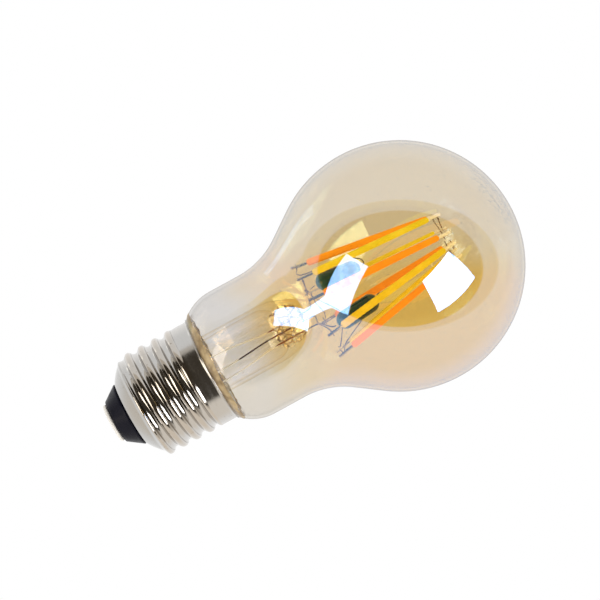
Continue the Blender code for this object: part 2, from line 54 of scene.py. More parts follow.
# Facets round the turned pieces, and rows along some of them
TURN_STEPS = 160  # where no other count is given
FLOOR_STEPS = 64
STEM_STEPS = 96
PRESS_STEPS = 34
PRESS_ROWS = 18
SHELL_STEPS = 224
THREAD_ROWS = 150
CEMENT_STEPS = 256
CEMENT_ROWS = 18
INSULATOR_STEPS = 128
ROD_STEPS = 24
ROD_ROWS = 170
CAPSULE_STEPS = 64
CAPSULE_ROWS = 14  # over each rounded end
BEAD_STEPS = 24
BEAD_ROWS = 12

# ---- sizes; a name that ends in _CURVE holds (radius, height) points in millimetres

GLASS_LOW, GLASS_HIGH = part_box("glass_envelope")
GLOBE_RADIUS = GLASS_HIGH.x
GLOBE_CENTRE_Z = GLASS_HIGH.z - GLOBE_RADIUS
TAIL_Z = GLASS_LOW.z
NECK_RADIUS = 16.5 * MM
CONE_ANGLE = radians(35.2)  # slope of the straight part between neck and globe
NECK_FILLET = 20.0 * MM  # concave radius where the neck opens into that slope
SHOULDER_RADIUS = 11.4 * MM  # convex radius that brings the neck in to the cap
SHOULDER_Z = 35.5 * MM
SHOULDER_END_Z = 27.9 * MM
TAIL_CURVE = ((12.7, 27.1), (11.6, 26.3))
TAIL_STRAIGHT_Z = 25.0 * MM
TAIL_RADIUS = 11.1 * MM
GLASS_WALL = 0.7 * MM

STEM_LOW, STEM_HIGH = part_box("glass_stem")
STEM_X = (STEM_LOW.x + STEM_HIGH.x) / 2
STEM_RADIUS = 7.4 * MM
STEM_WALL = 0.9 * MM
FLARE_RADIUS = STEM_HIGH.x - STEM_X
FLARE_Z = STEM_LOW.z
FLARE_TOP_Z = 28.0 * MM
FLARE_CURVE = ((7.7, 25.4), (8.4, 22.8))
PRESS_START_Z = 42.5 * MM
PRESS_FULL_Z = 50.5 * MM
PRESS_TOP_Z = STEM_HIGH.z
PRESS_FLATNESS = 0.34  # thickness of the press as a share of the stem's width
CREASE_DEPTH = 0.06  # of the creases over the press, as a share of its radius
CREASE_LENGTH = 3.0 * MM
HOLLOW_TOP_Z = 47.8 * MM

# The folded core of the press: a crumpled lump round the leads
FOLDS_LOW = 44.6 * MM
FOLDS_HIGH = 52.6 * MM
FOLDS_WIDTH = 5.4 * MM
FOLDS_DEPTH = 1.5 * MM
FOLDS_BLUNTNESS = 0.6  # below 1, its ends are blunter than a ball's
FOLDS_WAIST = 0.25  # how much narrower it is at its top
FOLDS_RAGGED = 0.4  # how much its radius varies round it
FOLDS_UNEVEN = 0.35  # the same for its height
FOLDS_SHOVE = 0.45 * MM  # the furthest that a point is pushed out of place

SHELL_LOW, SHELL_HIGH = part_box("screw_shell")
RIM_Z = SHELL_HIGH.z
RIM_LIP = (12.95, 0.25)  # radius and depth below the rim's top, in millimetres
RIM_ROLL = (RIM_LIP, (13.12, 0.0), (13.3, 0.12), (13.24, 0.32), (13.05, 0.48))
RIM_FOOT = (0.7 * MM, 1.2 * MM)  # depths at which the rim runs into the collar
COLLAR_RADIUS = 12.92 * MM
COLLAR_Z = 23.6 * MM
COLLAR_CURVE = ((12.8, 23.0), (12.3, 22.3))
THREAD_ROOT = 12.1 * MM
THREAD_DEPTH = 1.05 * MM
THREAD_PITCH = 3.629 * MM
THREAD_CREST_Z = 12.95 * MM
THREAD_TOP_Z = 21.8 * MM
THREAD_FOOT_Z = 9.0 * MM
THREAD_RUNOUT = 1.2 * MM
THREAD_FLATTEN = 0.6  # rolled crests and roots are flatter than a plain wave
SHELL_WALL = 0.35 * MM
SHELL_FOOT_CURVE = ((11.85, 8.3), (11.2, 7.5), (10.2, 6.6), (9.1, 5.75))
SHELL_FOOT_RADIUS = 8.25 * MM
SHELL_FOOT_Z = SHELL_LOW.z

CEMENT_TOP = 28.65  # mean height of its edge on the glass, in millimetres
CEMENT_TILT = 0.95  # how much higher that edge is at the front, in millimetres
CEMENT_WAVE = 0.5
CEMENT_RIPPLE = 0.3
CEMENT_FILM = (0.16, 0.07)  # its thickness and how much that varies, in millimetres
CEMENT_GAP = 0.02 * MM  # keeps the film clear of the glass
CEMENT_LUMP = 0.9 * MM
CEMENT_SPREAD = 1.3  # how steeply it may widen above the rim

INSULATOR_LOW, INSULATOR_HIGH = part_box("base_insulator")
CONTACT_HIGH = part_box("centre_contact")[1]
INSULATOR_HIDDEN_CURVE = ((9.95, 7.35), (7.6, 5.6), (7.65, 5.15), (7.95, 4.85))
INSULATOR_TOP_RADIUS = 9.4 * MM
CONE_TOP = (8.0 * MM, 4.7 * MM)
CONE_FOOT = (5.6 * MM, 0.3 * MM)  # the height is above the insulator's foot
CONE_SOFT = 0.4 * MM  # rounding at the foot
CONE_SOFT_FROM = 0.6  # angle at which the rounding begins, in radians
BORE_RADIUS = 1.3 * MM
CONTACT_PLATE_Z = 0.8 * MM
CONTACT_SOFT = 0.35 * MM
CONTACT_DRAFT = 0.05 * MM
EYELET_RADIUS = 0.9 * MM

# ---- studio

VIEW_ELEVATION = radians(4.6)  # camera above the horizon
VIEW_ROLL = radians(61.2)  # the bulb leans over in the picture, with its cap to the lower left
VIEW_DISTANCE = 2.0
FRAME_WIDTH = 143.1 * MM  # width of the picture at the bulb
AIM_RIGHT = -23.78 * MM  # picture centre, from the globe's centre
AIM_UP = -8.14 * MM
SENSOR_WIDTH = 36.0  # the camera's sensor width and lens are in millimetres

TO_CAMERA = Vector((0.0, -cos(VIEW_ELEVATION), sin(VIEW_ELEVATION)))
LEVEL_RIGHT = Vector((1.0, 0.0, 0.0))
LEVEL_UP = Vector((0.0, sin(VIEW_ELEVATION), cos(VIEW_ELEVATION)))
PICTURE_RIGHT = LEVEL_RIGHT * cos(VIEW_ROLL) + LEVEL_UP * sin(VIEW_ROLL)
PICTURE_UP = LEVEL_UP * cos(VIEW_ROLL) - LEVEL_RIGHT * sin(VIEW_ROLL)

# The dark side of the studio, round the camera, and the dim ring about it: half its width, half
# its height and how far its middle lies below the camera, all as angles
DARK_CORE = (radians(82), radians(55), radians(3.2))
DIM_RING = (radians(102), radians(63), 0.0)
DARK_EDGE = 0.02
DARK_COLOUR = (0.048, 0.039, 0.028)
RING_COLOUR = (0.62, 0.58, 0.52)
WALL_TOP = (0.86, 0.87, 0.88)
WALL_BOTTOM = (0.90, 0.84, 0.76)
WALL_BLEND = (-0.5, 0.5)  # upward part of a direction, where the walls change colour
WHITE = (1.0, 1.0, 1.0)
BACKDROP_BLEND = (0.3, 0.8)  # backward part of a direction, where the white backdrop begins
# Corners of the softboxes as directions (right, up, towards the camera), with their brightness
SOFTBOXES = (
    (((0.334, -0.241, 0.911), (0.694, 0.212, 0.689), (0.948, -0.146, 0.282), (0.525, -0.651, 0.549)),
     (6.0, 6.0, 6.0)),
    (((-0.484, -0.008, 0.875), (-0.765, 0.178, 0.619), (-0.897, -0.434, 0.095), (-0.674, -0.648, 0.357)),
     (4.2, 3.8, 3.2)),
    (((-0.70, 0.08, -0.71), (-0.79, 0.12, -0.60), (-0.83, 0.50, -0.26), (-0.73, 0.53, -0.43)),
     (1.5, 1.5, 1.45)),
)
WINDOW_EDGE = 0.012  # softness of their borders
CLOTH_SCALE = 9.0
CLOTH_PATCH = (0.35, 0.65)
CLOTH_SHADE = (0.78, 1.05)  # how much the cloth before them dims or lifts their light
SOFT_LIGHT = 1.55  # what matt surfaces see all round
FLOOR_RADIUS = 3.0
NEARLY_ONE = 0.9999  # these two keep arc cosines and divisions in range
NEARLY_ZERO = 0.0001


# ---- node graphs

class Graph:
    """Adds shader nodes, each fed with sockets or plain values, and hands back their outputs."""

    def __init__(self, owner):
        owner.use_nodes = True
        self.tree = owner.node_tree
        self.tree.nodes.clear()

    def add(self, kind, inputs=(), out=0, **settings):
        node = self.tree.nodes.new(f"ShaderNode{kind}")
        for name, value in settings.items():
            setattr(node, name, value)
        pairs = inputs.items() if isinstance(inputs, dict) else enumerate(inputs)
        for key, value in pairs:
            self.feed(node.inputs[key], value)
        return node.outputs[out] if len(node.outputs) else node

    def feed(self, socket, value):
        if isinstance(value, bpy.types.NodeSocket):
            self.tree.links.new(value, socket)
        elif value is not None:
            if socket.type == "RGBA" and len(value) == 3:
                value = (*value, 1.0)
            socket.default_value = value

    def math(self, operation, *values):
        return self.add("Math", values, operation=operation)

    def times(self, value, *others):
        for other in others:
            value = self.math("MULTIPLY", value, other)
        return value

    def length(self, across, along):
        """Length of the line that goes this far across and this far along."""
        squares = self.math("ADD", self.times(across, across), self.times(along, along))
        return self.math("SQRT", squares)

    def vector(self, operation, *values):
        return self.add("VectorMath", values, operation=operation)

    def scaled(self, vector, scale):
        return self.add("VectorMath", {"Vector": vector, "Scale": scale}, operation="SCALE")

    def dot(self, first, second):
        return self.add("VectorMath", (first, second), out="Value", operation="DOT_PRODUCT")

    def mix(self, share, first, second):
        """The first colour where the share is 0, the second where it is 1."""
        return self.add("Mix", {0: share, 6: first, 7: second}, out=2, data_type="RGBA")

    def span(self, value, low, high, to_low=0.0, to_high=1.0):
        """Goes smoothly from to_low to to_high while the value goes from low to high."""
        inputs = {"Value": value, "From Min": low, "From Max": high, "To Min": to_low, "To Max": to_high}
        return self.add("MapRange", inputs, interpolation_type="SMOOTHSTEP")

    def fall(self, value, low, high):
        """Goes smoothly from 1 to 0 while the value goes from low to high."""
        return self.span(value, low, high, 1.0, 0.0)

    def vary(self, cloud, to_low, to_high):
        """Spreads a noise, whose values mostly lie from 0.3 to 0.7, over another range."""
        return self.span(cloud, 0.3, 0.7, to_low, to_high)

    def place(self):
        return self.add("TexCoord", out="Object")

    def coordinate(self, axis):
        return self.add("SeparateXYZ", {"Vector": self.place()}, out=axis)

    def noise(self, scale, detail=3.0, rough=0.55, vector=None, stretch=None):
        """Cloudy values; scale is the number of clouds in a metre, detail the layers of finer ones."""
        vector = vector or self.place()
        if stretch:
            vector = self.add("Mapping", {"Vector": vector, "Scale": stretch})
        inputs = {"Vector": vector, "Scale": scale, "Detail": detail, "Roughness": rough}
        return self.add("TexNoise", inputs, out="Fac")

    def bump(self, height, strength, distance):
        inputs = {"Height": height, "Strength": strength, "Distance": distance}
        return self.add("Bump", inputs)

    def principled(self, colour, rough, **more):
        """A Principled shader; more holds its other inputs, with _ for each space in a name."""
        inputs = {"Base Color": colour, "Roughness": rough}
        inputs.update({name.replace("_", " "): value for name, value in more.items()})
        return self.add("BsdfPrincipled", inputs)

    def output(self, shader, kind="OutputMaterial"):
        self.add(kind, {"Surface": shader})


def material(name, build):
    """A material whose node graph is made by build(graph)."""
    mat = bpy.data.materials.new(name)
    graph = Graph(mat)
    graph.output(build(graph))
    return mat


# ---- mesh tools

def mesh_object(name, verts, faces, *mats):
    mesh = bpy.data.meshes.new(name)
    mesh.from_pydata([tuple(v) for v in verts], [], faces)
    for mat in mats:
        mesh.materials.append(mat)
    mesh.shade_smooth()
    obj = bpy.data.objects.new(name, mesh)
    bpy.context.scene.collection.objects.link(obj)
    return obj


def finish_piece(obj, slot, *nodes):
    """The piece takes the place of CAD nodes and rides on the bulb; slot is not used."""
    if nodes:
        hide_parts(*nodes)
    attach(obj, "root")


def in_mm(curve):
    """(radius, height) points in metres, from points in millimetres."""
    return [(r * MM, z * MM) for r, z in curve]


def eased(share):
    """A share held between 0 and 1, which leaves 0 and reaches 1 gently."""
    share = min(max(share, 0.0), 1.0)
    return share * share * (3.0 - 2.0 * share)


def arc(centre, radius, start, end, count):
    """Points on a circle in the (radius, height) plane, from one angle to another."""
    step = (end - start) / count
    angles = [start + i * step for i in range(count + 1)]
    return [(centre[0] + radius * cos(a), centre[1] + radius * sin(a)) for a in angles]


def fair(points, count):
    """A smooth curve through (radius, height) points: a Catmull-Rom spline with count steps a span."""
    ends = [points[0]] + list(points) + [points[-1]]
    curve = []
    for a, b, c, d in zip(ends, ends[1:], ends[2:], ends[3:]):
        a, b, c, d = (Vector(p) for p in (a, b, c, d))
        for i in range(count):
            t = i / count
            curve.append(tuple(0.5 * (2 * b + (c - a) * t + (2 * a - 5 * b + 4 * c - d) * t * t
                                      + (3 * b - a - 3 * c + d) * t ** 3)))
    return curve + [tuple(points[-1])]


def offset(outline, distance):
    """The outline moved sideways towards the axis by a wall thickness."""
    moved = []
    for i, (r, z) in enumerate(outline):
        before = Vector(outline[max(i - 1, 0)])
        after = Vector(outline[min(i + 1, len(outline) - 1)])
        along = (after - before).normalized()
        moved.append((max(r + along.y * distance, 0.0), z - along.x * distance))
    return moved


def uneven(turn, lumps, height):
    """Noise over a turned surface; more lumps make it finer round the axis."""
    return noise.noise(Vector((cos(turn) * lumps, sin(turn) * lumps, height)))


def turned(outline, steps=TURN_STEPS, shape=None, closed=False):
    """Vertices and faces of an outline turned about Z; the outline runs down the outer side first."""
    verts, rings = [], []
    for r, z in outline:
        count = steps if r > ON_AXIS else 1
        first = len(verts)
        for i in range(count):
            turn = 2 * pi * i / steps
            verts.append(shape(r, z, turn) if shape else (r * cos(turn), r * sin(turn), z))
        rings.append([first + i % count for i in range(steps)])
    if closed:
        rings.append(rings[0])
    faces = []
    for upper, lower in zip(rings, rings[1:]):
        for i in range(steps):
            j = (i + 1) % steps
            corners = [upper[i], lower[i], lower[j], upper[j]]
            faces.append(list(dict.fromkeys(corners)))
    return verts, faces


def turned_piece(name, mat, slot, nodes, outline, **turning):
    """A turned outline as a finished piece in the place of CAD nodes."""
    piece = mesh_object(name, *turned(outline, **turning), mat)
    finish_piece(piece, slot, *nodes)
    return piece


def axes_of(node):
    """Foot and top of the long axis of an upright CAD node, and the direction it is widest across."""
    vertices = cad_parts[node].data.vertices
    spots = np.array(sorted({tuple(round(c, 6) for c in v.co) for v in vertices}))
    centre = (spots.min(0) + spots.max(0)) / 2
    along, across, _ = np.linalg.svd(spots - spots.mean(0), full_matrices=False)[2]
    along = along * np.sign(along[2])
    reach = (spots - centre) @ along
    half = (reach.max() - reach.min()) / 2
    middle = centre + along * (reach.max() + reach.min()) / 2
    return Vector(middle - along * half), Vector(middle + along * half), Vector(across)


# ---- studio

def camera_axes(graph, vector):
    """Parts of a direction to the right, up and towards the camera of the main picture."""
    return [graph.dot(vector, tuple(axis)) for axis in (PICTURE_RIGHT, PICTURE_UP, TO_CAMERA)]


def picture_to_world(direction):
    right, up, near = direction
    return (PICTURE_RIGHT * right + PICTURE_UP * up + TO_CAMERA * near).normalized()


def inside_window(graph, vector, corners):
    """1 where a direction lies inside the window with these corners, else 0."""
    spots = [picture_to_world(c) for c in corners]
    middle = sum(spots, Vector()).normalized()
    inside = None
    for here, after in zip(spots, spots[1:] + spots[:1]):
        edge = here.cross(after).normalized()
        edge = edge if edge.dot(middle) > 0 else -edge
        depth = graph.dot(vector, tuple(edge))
        inside = depth if inside is None else graph.math("MINIMUM", inside, depth)
    return graph.span(inside, 0.0, WINDOW_EDGE)


def around_camera(graph, vector, width, height, drop):
    """0 inside an ellipse of directions about the camera, 1 outside it."""
    right, up, near = camera_axes(graph, vector)
    away = graph.math("ARCCOSINE", graph.times(near, NEARLY_ONE))
    flat = graph.math("MAXIMUM", graph.length(right, up), NEARLY_ZERO)
    across = graph.math("DIVIDE", graph.times(away, right), flat)
    along = graph.math("DIVIDE", graph.times(away, up), flat)
    across = graph.math("DIVIDE", across, width)
    along = graph.math("DIVIDE", graph.math("ADD", along, drop), height)
    return graph.span(graph.length(across, along), 1.0 - DARK_EDGE, 1.0 + DARK_EDGE)


def make_world():
    """White backdrop, pale walls, dim ring and dark core about the camera, and the softboxes."""
    world = bpy.data.worlds.new("studio")
    bpy.context.scene.world = world
    graph = Graph(world)
    vector = graph.add("TexCoord", out="Generated")
    up = graph.dot(vector, tuple(PICTURE_UP))
    colour = graph.mix(graph.span(up, *WALL_BLEND), WALL_BOTTOM, WALL_TOP)
    behind = graph.dot(vector, tuple(-TO_CAMERA))
    colour = graph.mix(graph.span(behind, *BACKDROP_BLEND), colour, WHITE)
    colour = graph.mix(around_camera(graph, vector, *DIM_RING), RING_COLOUR, colour)
    colour = graph.mix(around_camera(graph, vector, *DARK_CORE), DARK_COLOUR, colour)
    cloth = graph.span(graph.noise(CLOTH_SCALE, vector=vector), *CLOTH_PATCH, *CLOTH_SHADE)
    for corners, light in SOFTBOXES:
        colour = graph.mix(inside_window(graph, vector, corners), colour, graph.scaled(light, cloth))
    for ray, seen in (("Is Diffuse Ray", (SOFT_LIGHT,) * 3), ("Is Camera Ray", WHITE)):
        colour = graph.mix(graph.add("LightPath", out=ray), colour, seen)
    back = graph.add("Background", {"Color": colour, "Strength": 1.0})
    graph.output(back, "OutputWorld")


def make_floor():
    """A plain white floor that only the camera sees, so that it doesn't tint the bulb."""
    verts, faces = turned([(0.0, 0.0), (FLOOR_RADIUS, 0.0)], FLOOR_STEPS)
    white = material("floor", lambda graph: graph.add("Emission", {"Color": WHITE}))
    floor = mesh_object("floor", verts, faces, white)
    for kind in ("diffuse", "glossy", "transmission", "shadow"):
        setattr(floor, f"visible_{kind}", False)


def make_camera():
    camera = bpy.data.cameras.new("camera")
    camera.sensor_width = SENSOR_WIDTH
    camera.lens = VIEW_DISTANCE * SENSOR_WIDTH / FRAME_WIDTH
    obj = bpy.data.objects.new("camera", camera)
    bpy.context.scene.collection.objects.link(obj)
    place = Matrix((PICTURE_RIGHT, PICTURE_UP, TO_CAMERA)).transposed().to_4x4()
    aim = Vector((0.0, 0.0, GLOBE_CENTRE_Z)) + PICTURE_RIGHT * AIM_RIGHT + PICTURE_UP * AIM_UP
    place.translation = aim + TO_CAMERA * VIEW_DISTANCE
    obj.matrix_world = place
    bpy.context.scene.camera = obj


# ---- glass

FRESNEL_POWER = 5.0
EDGE_BLEND = (0.80, 0.95)  # where the edge's own mirror comes in: 0 is head-on, 1 edge-on
BLACK = (0.0, 0.0, 0.0)

COAT_TINT = (0.760, 0.655, 0.460)  # what one coated wall lets through
SHADED_GOLD_TINT = (0.788, 0.612, 0.265)  # painted shade: the same wall, deeper gold, low in the picture
NECK_TINT = (0.765, 0.757, 0.750)
# Painted light: the bare neck warmer low in the picture
NECK_PAINTED_WARM_TINT = (0.79, 0.765, 0.720)
COAT_MIRROR = (0.080, 0.155, 0.285)  # what the coat reflects head-on: the colour it holds back
# Painted reflection: a stronger, bluer mirror on the painted gold part low in the picture
SHADED_GOLD_MIRROR = (0.085, 0.200, 0.430)
BACK_MIRROR = (0.070, 0.125, 0.210)  # the coat of the far wall, seen through the bulb
PLAIN_TINT = (0.985, 0.98, 0.97)
PLAIN_MIRROR = (0.045, 0.045, 0.05)
GRAZE_MIRROR = (0.88, 0.87, 0.85)
EDGE_MIRROR = (0.62, 0.58, 0.54)  # the last sliver of the globe, where it is looked at edge-on

COAT_WANDER = 4.0 * MM  # unevenness of the coat's borders
COAT_FADE = (32.0 * MM, 56.0 * MM)  # heights between which the coat comes in
GOLD_SHADE_BLEND = (-7.0 * MM, 7.0 * MM)  # depths in the picture below the globe's centre, over which the painted gold shade comes in
# Depths in the picture over which the neck's painted warmth comes in
NECK_PAINTED_WARM_BLEND = (8.0 * MM, 28.0 * MM)
WORN_SPOT = (0.780, 0.57, 0.25)  # a rubbed patch of the coat, as a direction like the softboxes'
WORN_BLEND = (0.93, 0.98)  # cosines of the angles from it over which the rubbing sets in
WORN_DEPTH = 0.4
SCUFF_BLEND = (0.50, 0.58)
SPECK_BLEND = (0.70, 0.74)
SPECK_DEPTH = 0.35
MARK_TINT = (0.45, 0.40, 0.33)  # bare glass, dulled, under the specks and scuffs

STEM_LOW_TINTS = ((0.955, 0.945, 0.92), (0.99, 0.985, 0.975))
STEM_HIGH_TINTS = ((0.93, 0.89, 0.80), (0.975, 0.95, 0.90))
STEM_TOP_TINT = (0.975, 0.925, 0.79)
STEM_SIDE_TINT = (0.95, 0.88, 0.74)  # where its wall is looked at edge-on
STEM_MIRROR = (0.045, 0.060, 0.11)
STEM_HIGH_BLEND = (30.0 * MM, 45.0 * MM)
STEM_TOP_BLEND = (45.0 * MM, 51.0 * MM)
STEM_SIDE_BLEND = (0.45, 0.90)
STEM_STREAK = (1.0, 1.0, 0.04)  # how far its streaks and ripples are drawn out along it
STEM_RIPPLE = (1.0, 1.0, 0.15)

PRESS_FACET = 2.6 * MM
PRESS_TILT = 0.9  # how far the crumpled facets lean away from the surface
# Painted shade in the press's creases: where it sets in, and its dark colour
PRESS_CREASE_SHADE_BLEND = (0.02, 0.09)
PRESS_CREASE_SHADE = (0.46, 0.34, 0.20)
PRESS_TINTS = ((0.74, 0.65, 0.50), (0.93, 0.92, 0.88))
PRESS_MIRROR = (0.22, 0.26, 0.36)
PRESS_ROUGH_BLEND = (0.50, 0.60)
PRESS_HAZE = (0.24, 0.31, 0.42)  # light scattered by the roughest facets


def glass_sheet(graph, tint, mirror, rough=0.0, normal=None, edge=GRAZE_MIRROR):
    """Thin glass: what it lets through, tinted, plus what it mirrors, more at a grazing angle."""
    facing = graph.add("LayerWeight", {"Blend": 0.5, "Normal": normal}, out="Facing")
    graze = graph.math("POWER", facing, FRESNEL_POWER)
    clear = graph.add("BsdfTransparent", {"Color": graph.mix(graze, tint, BLACK)})
    grazing = graph.mix(graph.span(facing, *EDGE_BLEND), GRAZE_MIRROR, edge)
    shine = graph.mix(graze, mirror, grazing)
    gloss = graph.add("BsdfGlossy", {"Color": shine, "Roughness": rough, "Normal": normal})
    return graph.add("AddShader", (clear, gloss))


def coated_glass(graph):
    """Outer face of the globe: a thin amber coat that fades at the neck, with a few faint specks; low in
    the picture it is painted deeper gold as shade, and the neck is painted warmer.
    """
    wander = graph.vary(graph.noise(38.0, 2.0), -COAT_WANDER, COAT_WANDER)
    coat = graph.span(graph.math("ADD", graph.coordinate("Z"), wander), *COAT_FADE)
    from_centre = graph.vector("SUBTRACT", graph.place(), (0.0, 0.0, GLOBE_CENTRE_Z))
    low = graph.dot(from_centre, tuple(-PICTURE_UP))
    # painted shade: 1 low in the picture, where the coat is painted a deeper gold
    thick = graph.span(graph.math("ADD", low, wander), *GOLD_SHADE_BLEND)
    # painted light: the bare neck warmer low in the picture
    neck = graph.mix(graph.span(low, *NECK_PAINTED_WARM_BLEND), NECK_TINT, NECK_PAINTED_WARM_TINT)
    tint = graph.mix(coat, neck, graph.mix(thick, COAT_TINT, SHADED_GOLD_TINT))
    far = graph.add("NewGeometry", out="Backfacing")
    coat_mirror = graph.mix(far, graph.mix(thick, COAT_MIRROR, SHADED_GOLD_MIRROR), BACK_MIRROR)
    mirror = graph.mix(coat, PLAIN_MIRROR, coat_mirror)
    speck = graph.span(graph.noise(900.0, 2.0), *SPECK_BLEND)
    aim = graph.vector("NORMALIZE", from_centre)
    worn = graph.span(graph.dot(aim, tuple(picture_to_world(WORN_SPOT))), *WORN_BLEND)
    scuff = graph.span(graph.noise(900.0, 4.0, 0.7), *SCUFF_BLEND)
    marks = graph.math("MAXIMUM", graph.times(speck, SPECK_DEPTH), graph.times(worn, scuff, WORN_DEPTH))
    return glass_sheet(graph, graph.mix(marks, tint, MARK_TINT), mirror, edge=EDGE_MIRROR)


def plain_glass(graph):
    return glass_sheet(graph, PLAIN_TINT, PLAIN_MIRROR)


def stem_glass(graph):
    """Drawn glass with streaks along it, which turns golden towards the press."""
    height = graph.coordinate("Z")
    streak = graph.noise(900.0, stretch=STEM_STREAK)
    low_tint = graph.mix(streak, *STEM_LOW_TINTS)
    high_tint = graph.mix(streak, *STEM_HIGH_TINTS)
    tint = graph.mix(graph.span(height, *STEM_HIGH_BLEND), low_tint, high_tint)
    tint = graph.mix(graph.span(height, *STEM_TOP_BLEND), tint, STEM_TOP_TINT)
    facing = graph.add("LayerWeight", {"Blend": 0.5}, out="Facing")
    tint = graph.mix(graph.span(facing, *STEM_SIDE_BLEND), tint, STEM_SIDE_TINT)
    ripple = graph.noise(160.0, 2.0, stretch=STEM_RIPPLE)
    return glass_sheet(graph, tint, STEM_MIRROR, normal=graph.bump(ripple, 0.25, 0.4 * MM))


def envelope_outline():
    """Outer outline of the globe, slope, neck, shoulder and tail, from the pole down."""
    globe = arc((0.0, GLOBE_CENTRE_Z), GLOBE_RADIUS, pi / 2, -CONE_ANGLE, 90)
    globe[0] = (0.0, GLASS_HIGH.z)
    last_r, last_z = globe[-1]
    fillet_r = NECK_RADIUS + NECK_FILLET
    meet_r = fillet_r - NECK_FILLET * cos(CONE_ANGLE)
    meet_z = last_z - (last_r - meet_r) * cos(CONE_ANGLE) / sin(CONE_ANGLE)
    slope = [(last_r + (meet_r - last_r) * t, last_z + (meet_z - last_z) * t) for t in (0.25, 0.5, 0.75)]
    fillet_z = meet_z - NECK_FILLET * sin(CONE_ANGLE)
    fillet = arc((fillet_r, fillet_z), NECK_FILLET, pi - CONE_ANGLE, pi, 24)
    drop = atan2(SHOULDER_Z - SHOULDER_END_Z,
                 sqrt(SHOULDER_RADIUS ** 2 - (SHOULDER_Z - SHOULDER_END_Z) ** 2))
    shoulder = arc((NECK_RADIUS - SHOULDER_RADIUS, SHOULDER_Z), SHOULDER_RADIUS, 0.0, -drop, 20)
    straight = [(TAIL_RADIUS, TAIL_STRAIGHT_Z), (TAIL_RADIUS, TAIL_Z)]
    tail = fair([shoulder[-1], *in_mm(TAIL_CURVE), *straight], 6)
    return globe + slope + fillet + shoulder + tail[1:]


def make_envelope():
    outer = envelope_outline()
    inner = offset(outer, GLASS_WALL)[::-1]
    verts, faces = turned(outer + inner)
    envelope = mesh_object("glass_envelope_blown", verts, faces, material("amber_coat", coated_glass),
                           material("envelope_inside", plain_glass))
    inside_from = len(turned(outer)[1])
    for polygon in envelope.data.polygons:
        polygon.material_index = int(polygon.index >= inside_from)
    finish_piece(envelope, "amber_glass", "glass_envelope")


def dome(radius, height, count=24):
    """Quarter ellipse over the stem's tube, from the pole down."""
    turns = [i * pi / 2 / count for i in range(count + 1)]
    return [(radius * sin(a), PRESS_START_Z + height * cos(a)) for a in turns]


def squeeze(height):
    """Share by which the stem is flattened at a height."""
    share = (height - PRESS_START_Z) / (PRESS_FULL_Z - PRESS_START_Z)
    return 1.0 - eased(share) * (1.0 - PRESS_FLATNESS)


def stem_point(radius, height, turn):
    """A point of the stem, flattened towards the press and creased where the jaws gripped it."""
    grip = 1.0 - (squeeze(height) - PRESS_FLATNESS) / (1.0 - PRESS_FLATNESS)
    radius *= 1.0 + CREASE_DEPTH * grip * uneven(turn, 3.0, height / CREASE_LENGTH)
    return STEM_X + radius * cos(turn), radius * sin(turn) * squeeze(height), height


def make_stem():
    flare = fair([(STEM_RADIUS, FLARE_TOP_Z), *in_mm(FLARE_CURVE), (FLARE_RADIUS, FLARE_Z)], 6)
    outer = dome(STEM_RADIUS, PRESS_TOP_Z - PRESS_START_Z)
    walls = [(STEM_RADIUS, PRESS_START_Z + (FLARE_TOP_Z - PRESS_START_Z) * t / 12) for t in range(1, 12)]
    hollow = dome(STEM_RADIUS - STEM_WALL, HOLLOW_TOP_Z - PRESS_START_Z)
    inner = [(r - STEM_WALL, z) for r, z in walls + flare]
    turned_piece("glass_stem_drawn", material("stem_glass", stem_glass), "clear_glass", ["glass_stem"],
                 outer + walls + flare + inner[::-1] + hollow[::-1], steps=STEM_STEPS, shape=stem_point)


def facets(graph, out, **settings):
    """Random cells in space that cut a surface into flat-looking facets."""
    inputs = {"Vector": graph.place(), "Scale": 1.0 / PRESS_FACET}
    return graph.add("TexVoronoi", inputs, out=out, **settings)


def pressed_glass(graph):
    """Crumpled glass of the press: facets that lean and shade differently, with painted shade in the
    creases.
    """
    tone = facets(graph, "Color")
    # painted shade: 0 along the creases between facets, where the tint turns dark
    flat = graph.span(facets(graph, "Distance", feature="DISTANCE_TO_EDGE"), *PRESS_CREASE_SHADE_BLEND)
    lean = graph.scaled(graph.vector("SUBTRACT", tone, (0.5, 0.5, 0.5)), PRESS_TILT)
    straight = graph.add("NewGeometry", out="Normal")
    normal = graph.vector("NORMALIZE", graph.vector("ADD", straight, lean))
    shade = graph.vary(graph.dot(tone, (0.6, 0.4, 0.0)), 0.0, 1.0)
    tint = graph.mix(flat, PRESS_CREASE_SHADE, graph.mix(shade, *PRESS_TINTS))
    glass = glass_sheet(graph, tint, PRESS_MIRROR, rough=0.05, normal=normal)
    rough = graph.times(graph.span(graph.dot(tone, (0.0, 0.5, 0.5)), *PRESS_ROUGH_BLEND), flat)
    haze = graph.add("BsdfDiffuse", (graph.mix(rough, BLACK, PRESS_HAZE),))
    return graph.add("AddShader", (glass, haze))


def jolt(where):
    """A shove whose direction and size vary smoothly over space, the same in every run."""
    return Vector([noise.noise(where + Vector((0.0, 0.0, axis * SEED_STEP))) for axis in range(3)])


def folds_point(share, level, turn):
    """A point of the press's core: share is 0 on its axis, 1 on its flank; level is 1 at its top."""
    middle = (FOLDS_LOW + FOLDS_HIGH) / 2
    half = (FOLDS_HIGH - FOLDS_LOW) / 2
    where = Vector((share * cos(turn), share * sin(turn), level))
    shove = jolt(where * 9.0) * FOLDS_SHOVE
    waist = 1.0 - FOLDS_WAIST * (0.5 + 0.5 * level)
    ragged = uneven(turn, 3.0, 7.0)
    radius = share * waist * (1.0 + FOLDS_RAGGED * ragged)
    height = middle + level * half * (1.0 + FOLDS_UNEVEN * ragged)
    return (STEM_X + radius * FOLDS_WIDTH * cos(turn) + shove.x,
            radius * FOLDS_DEPTH * sin(turn) + shove.y, height + shove.z)


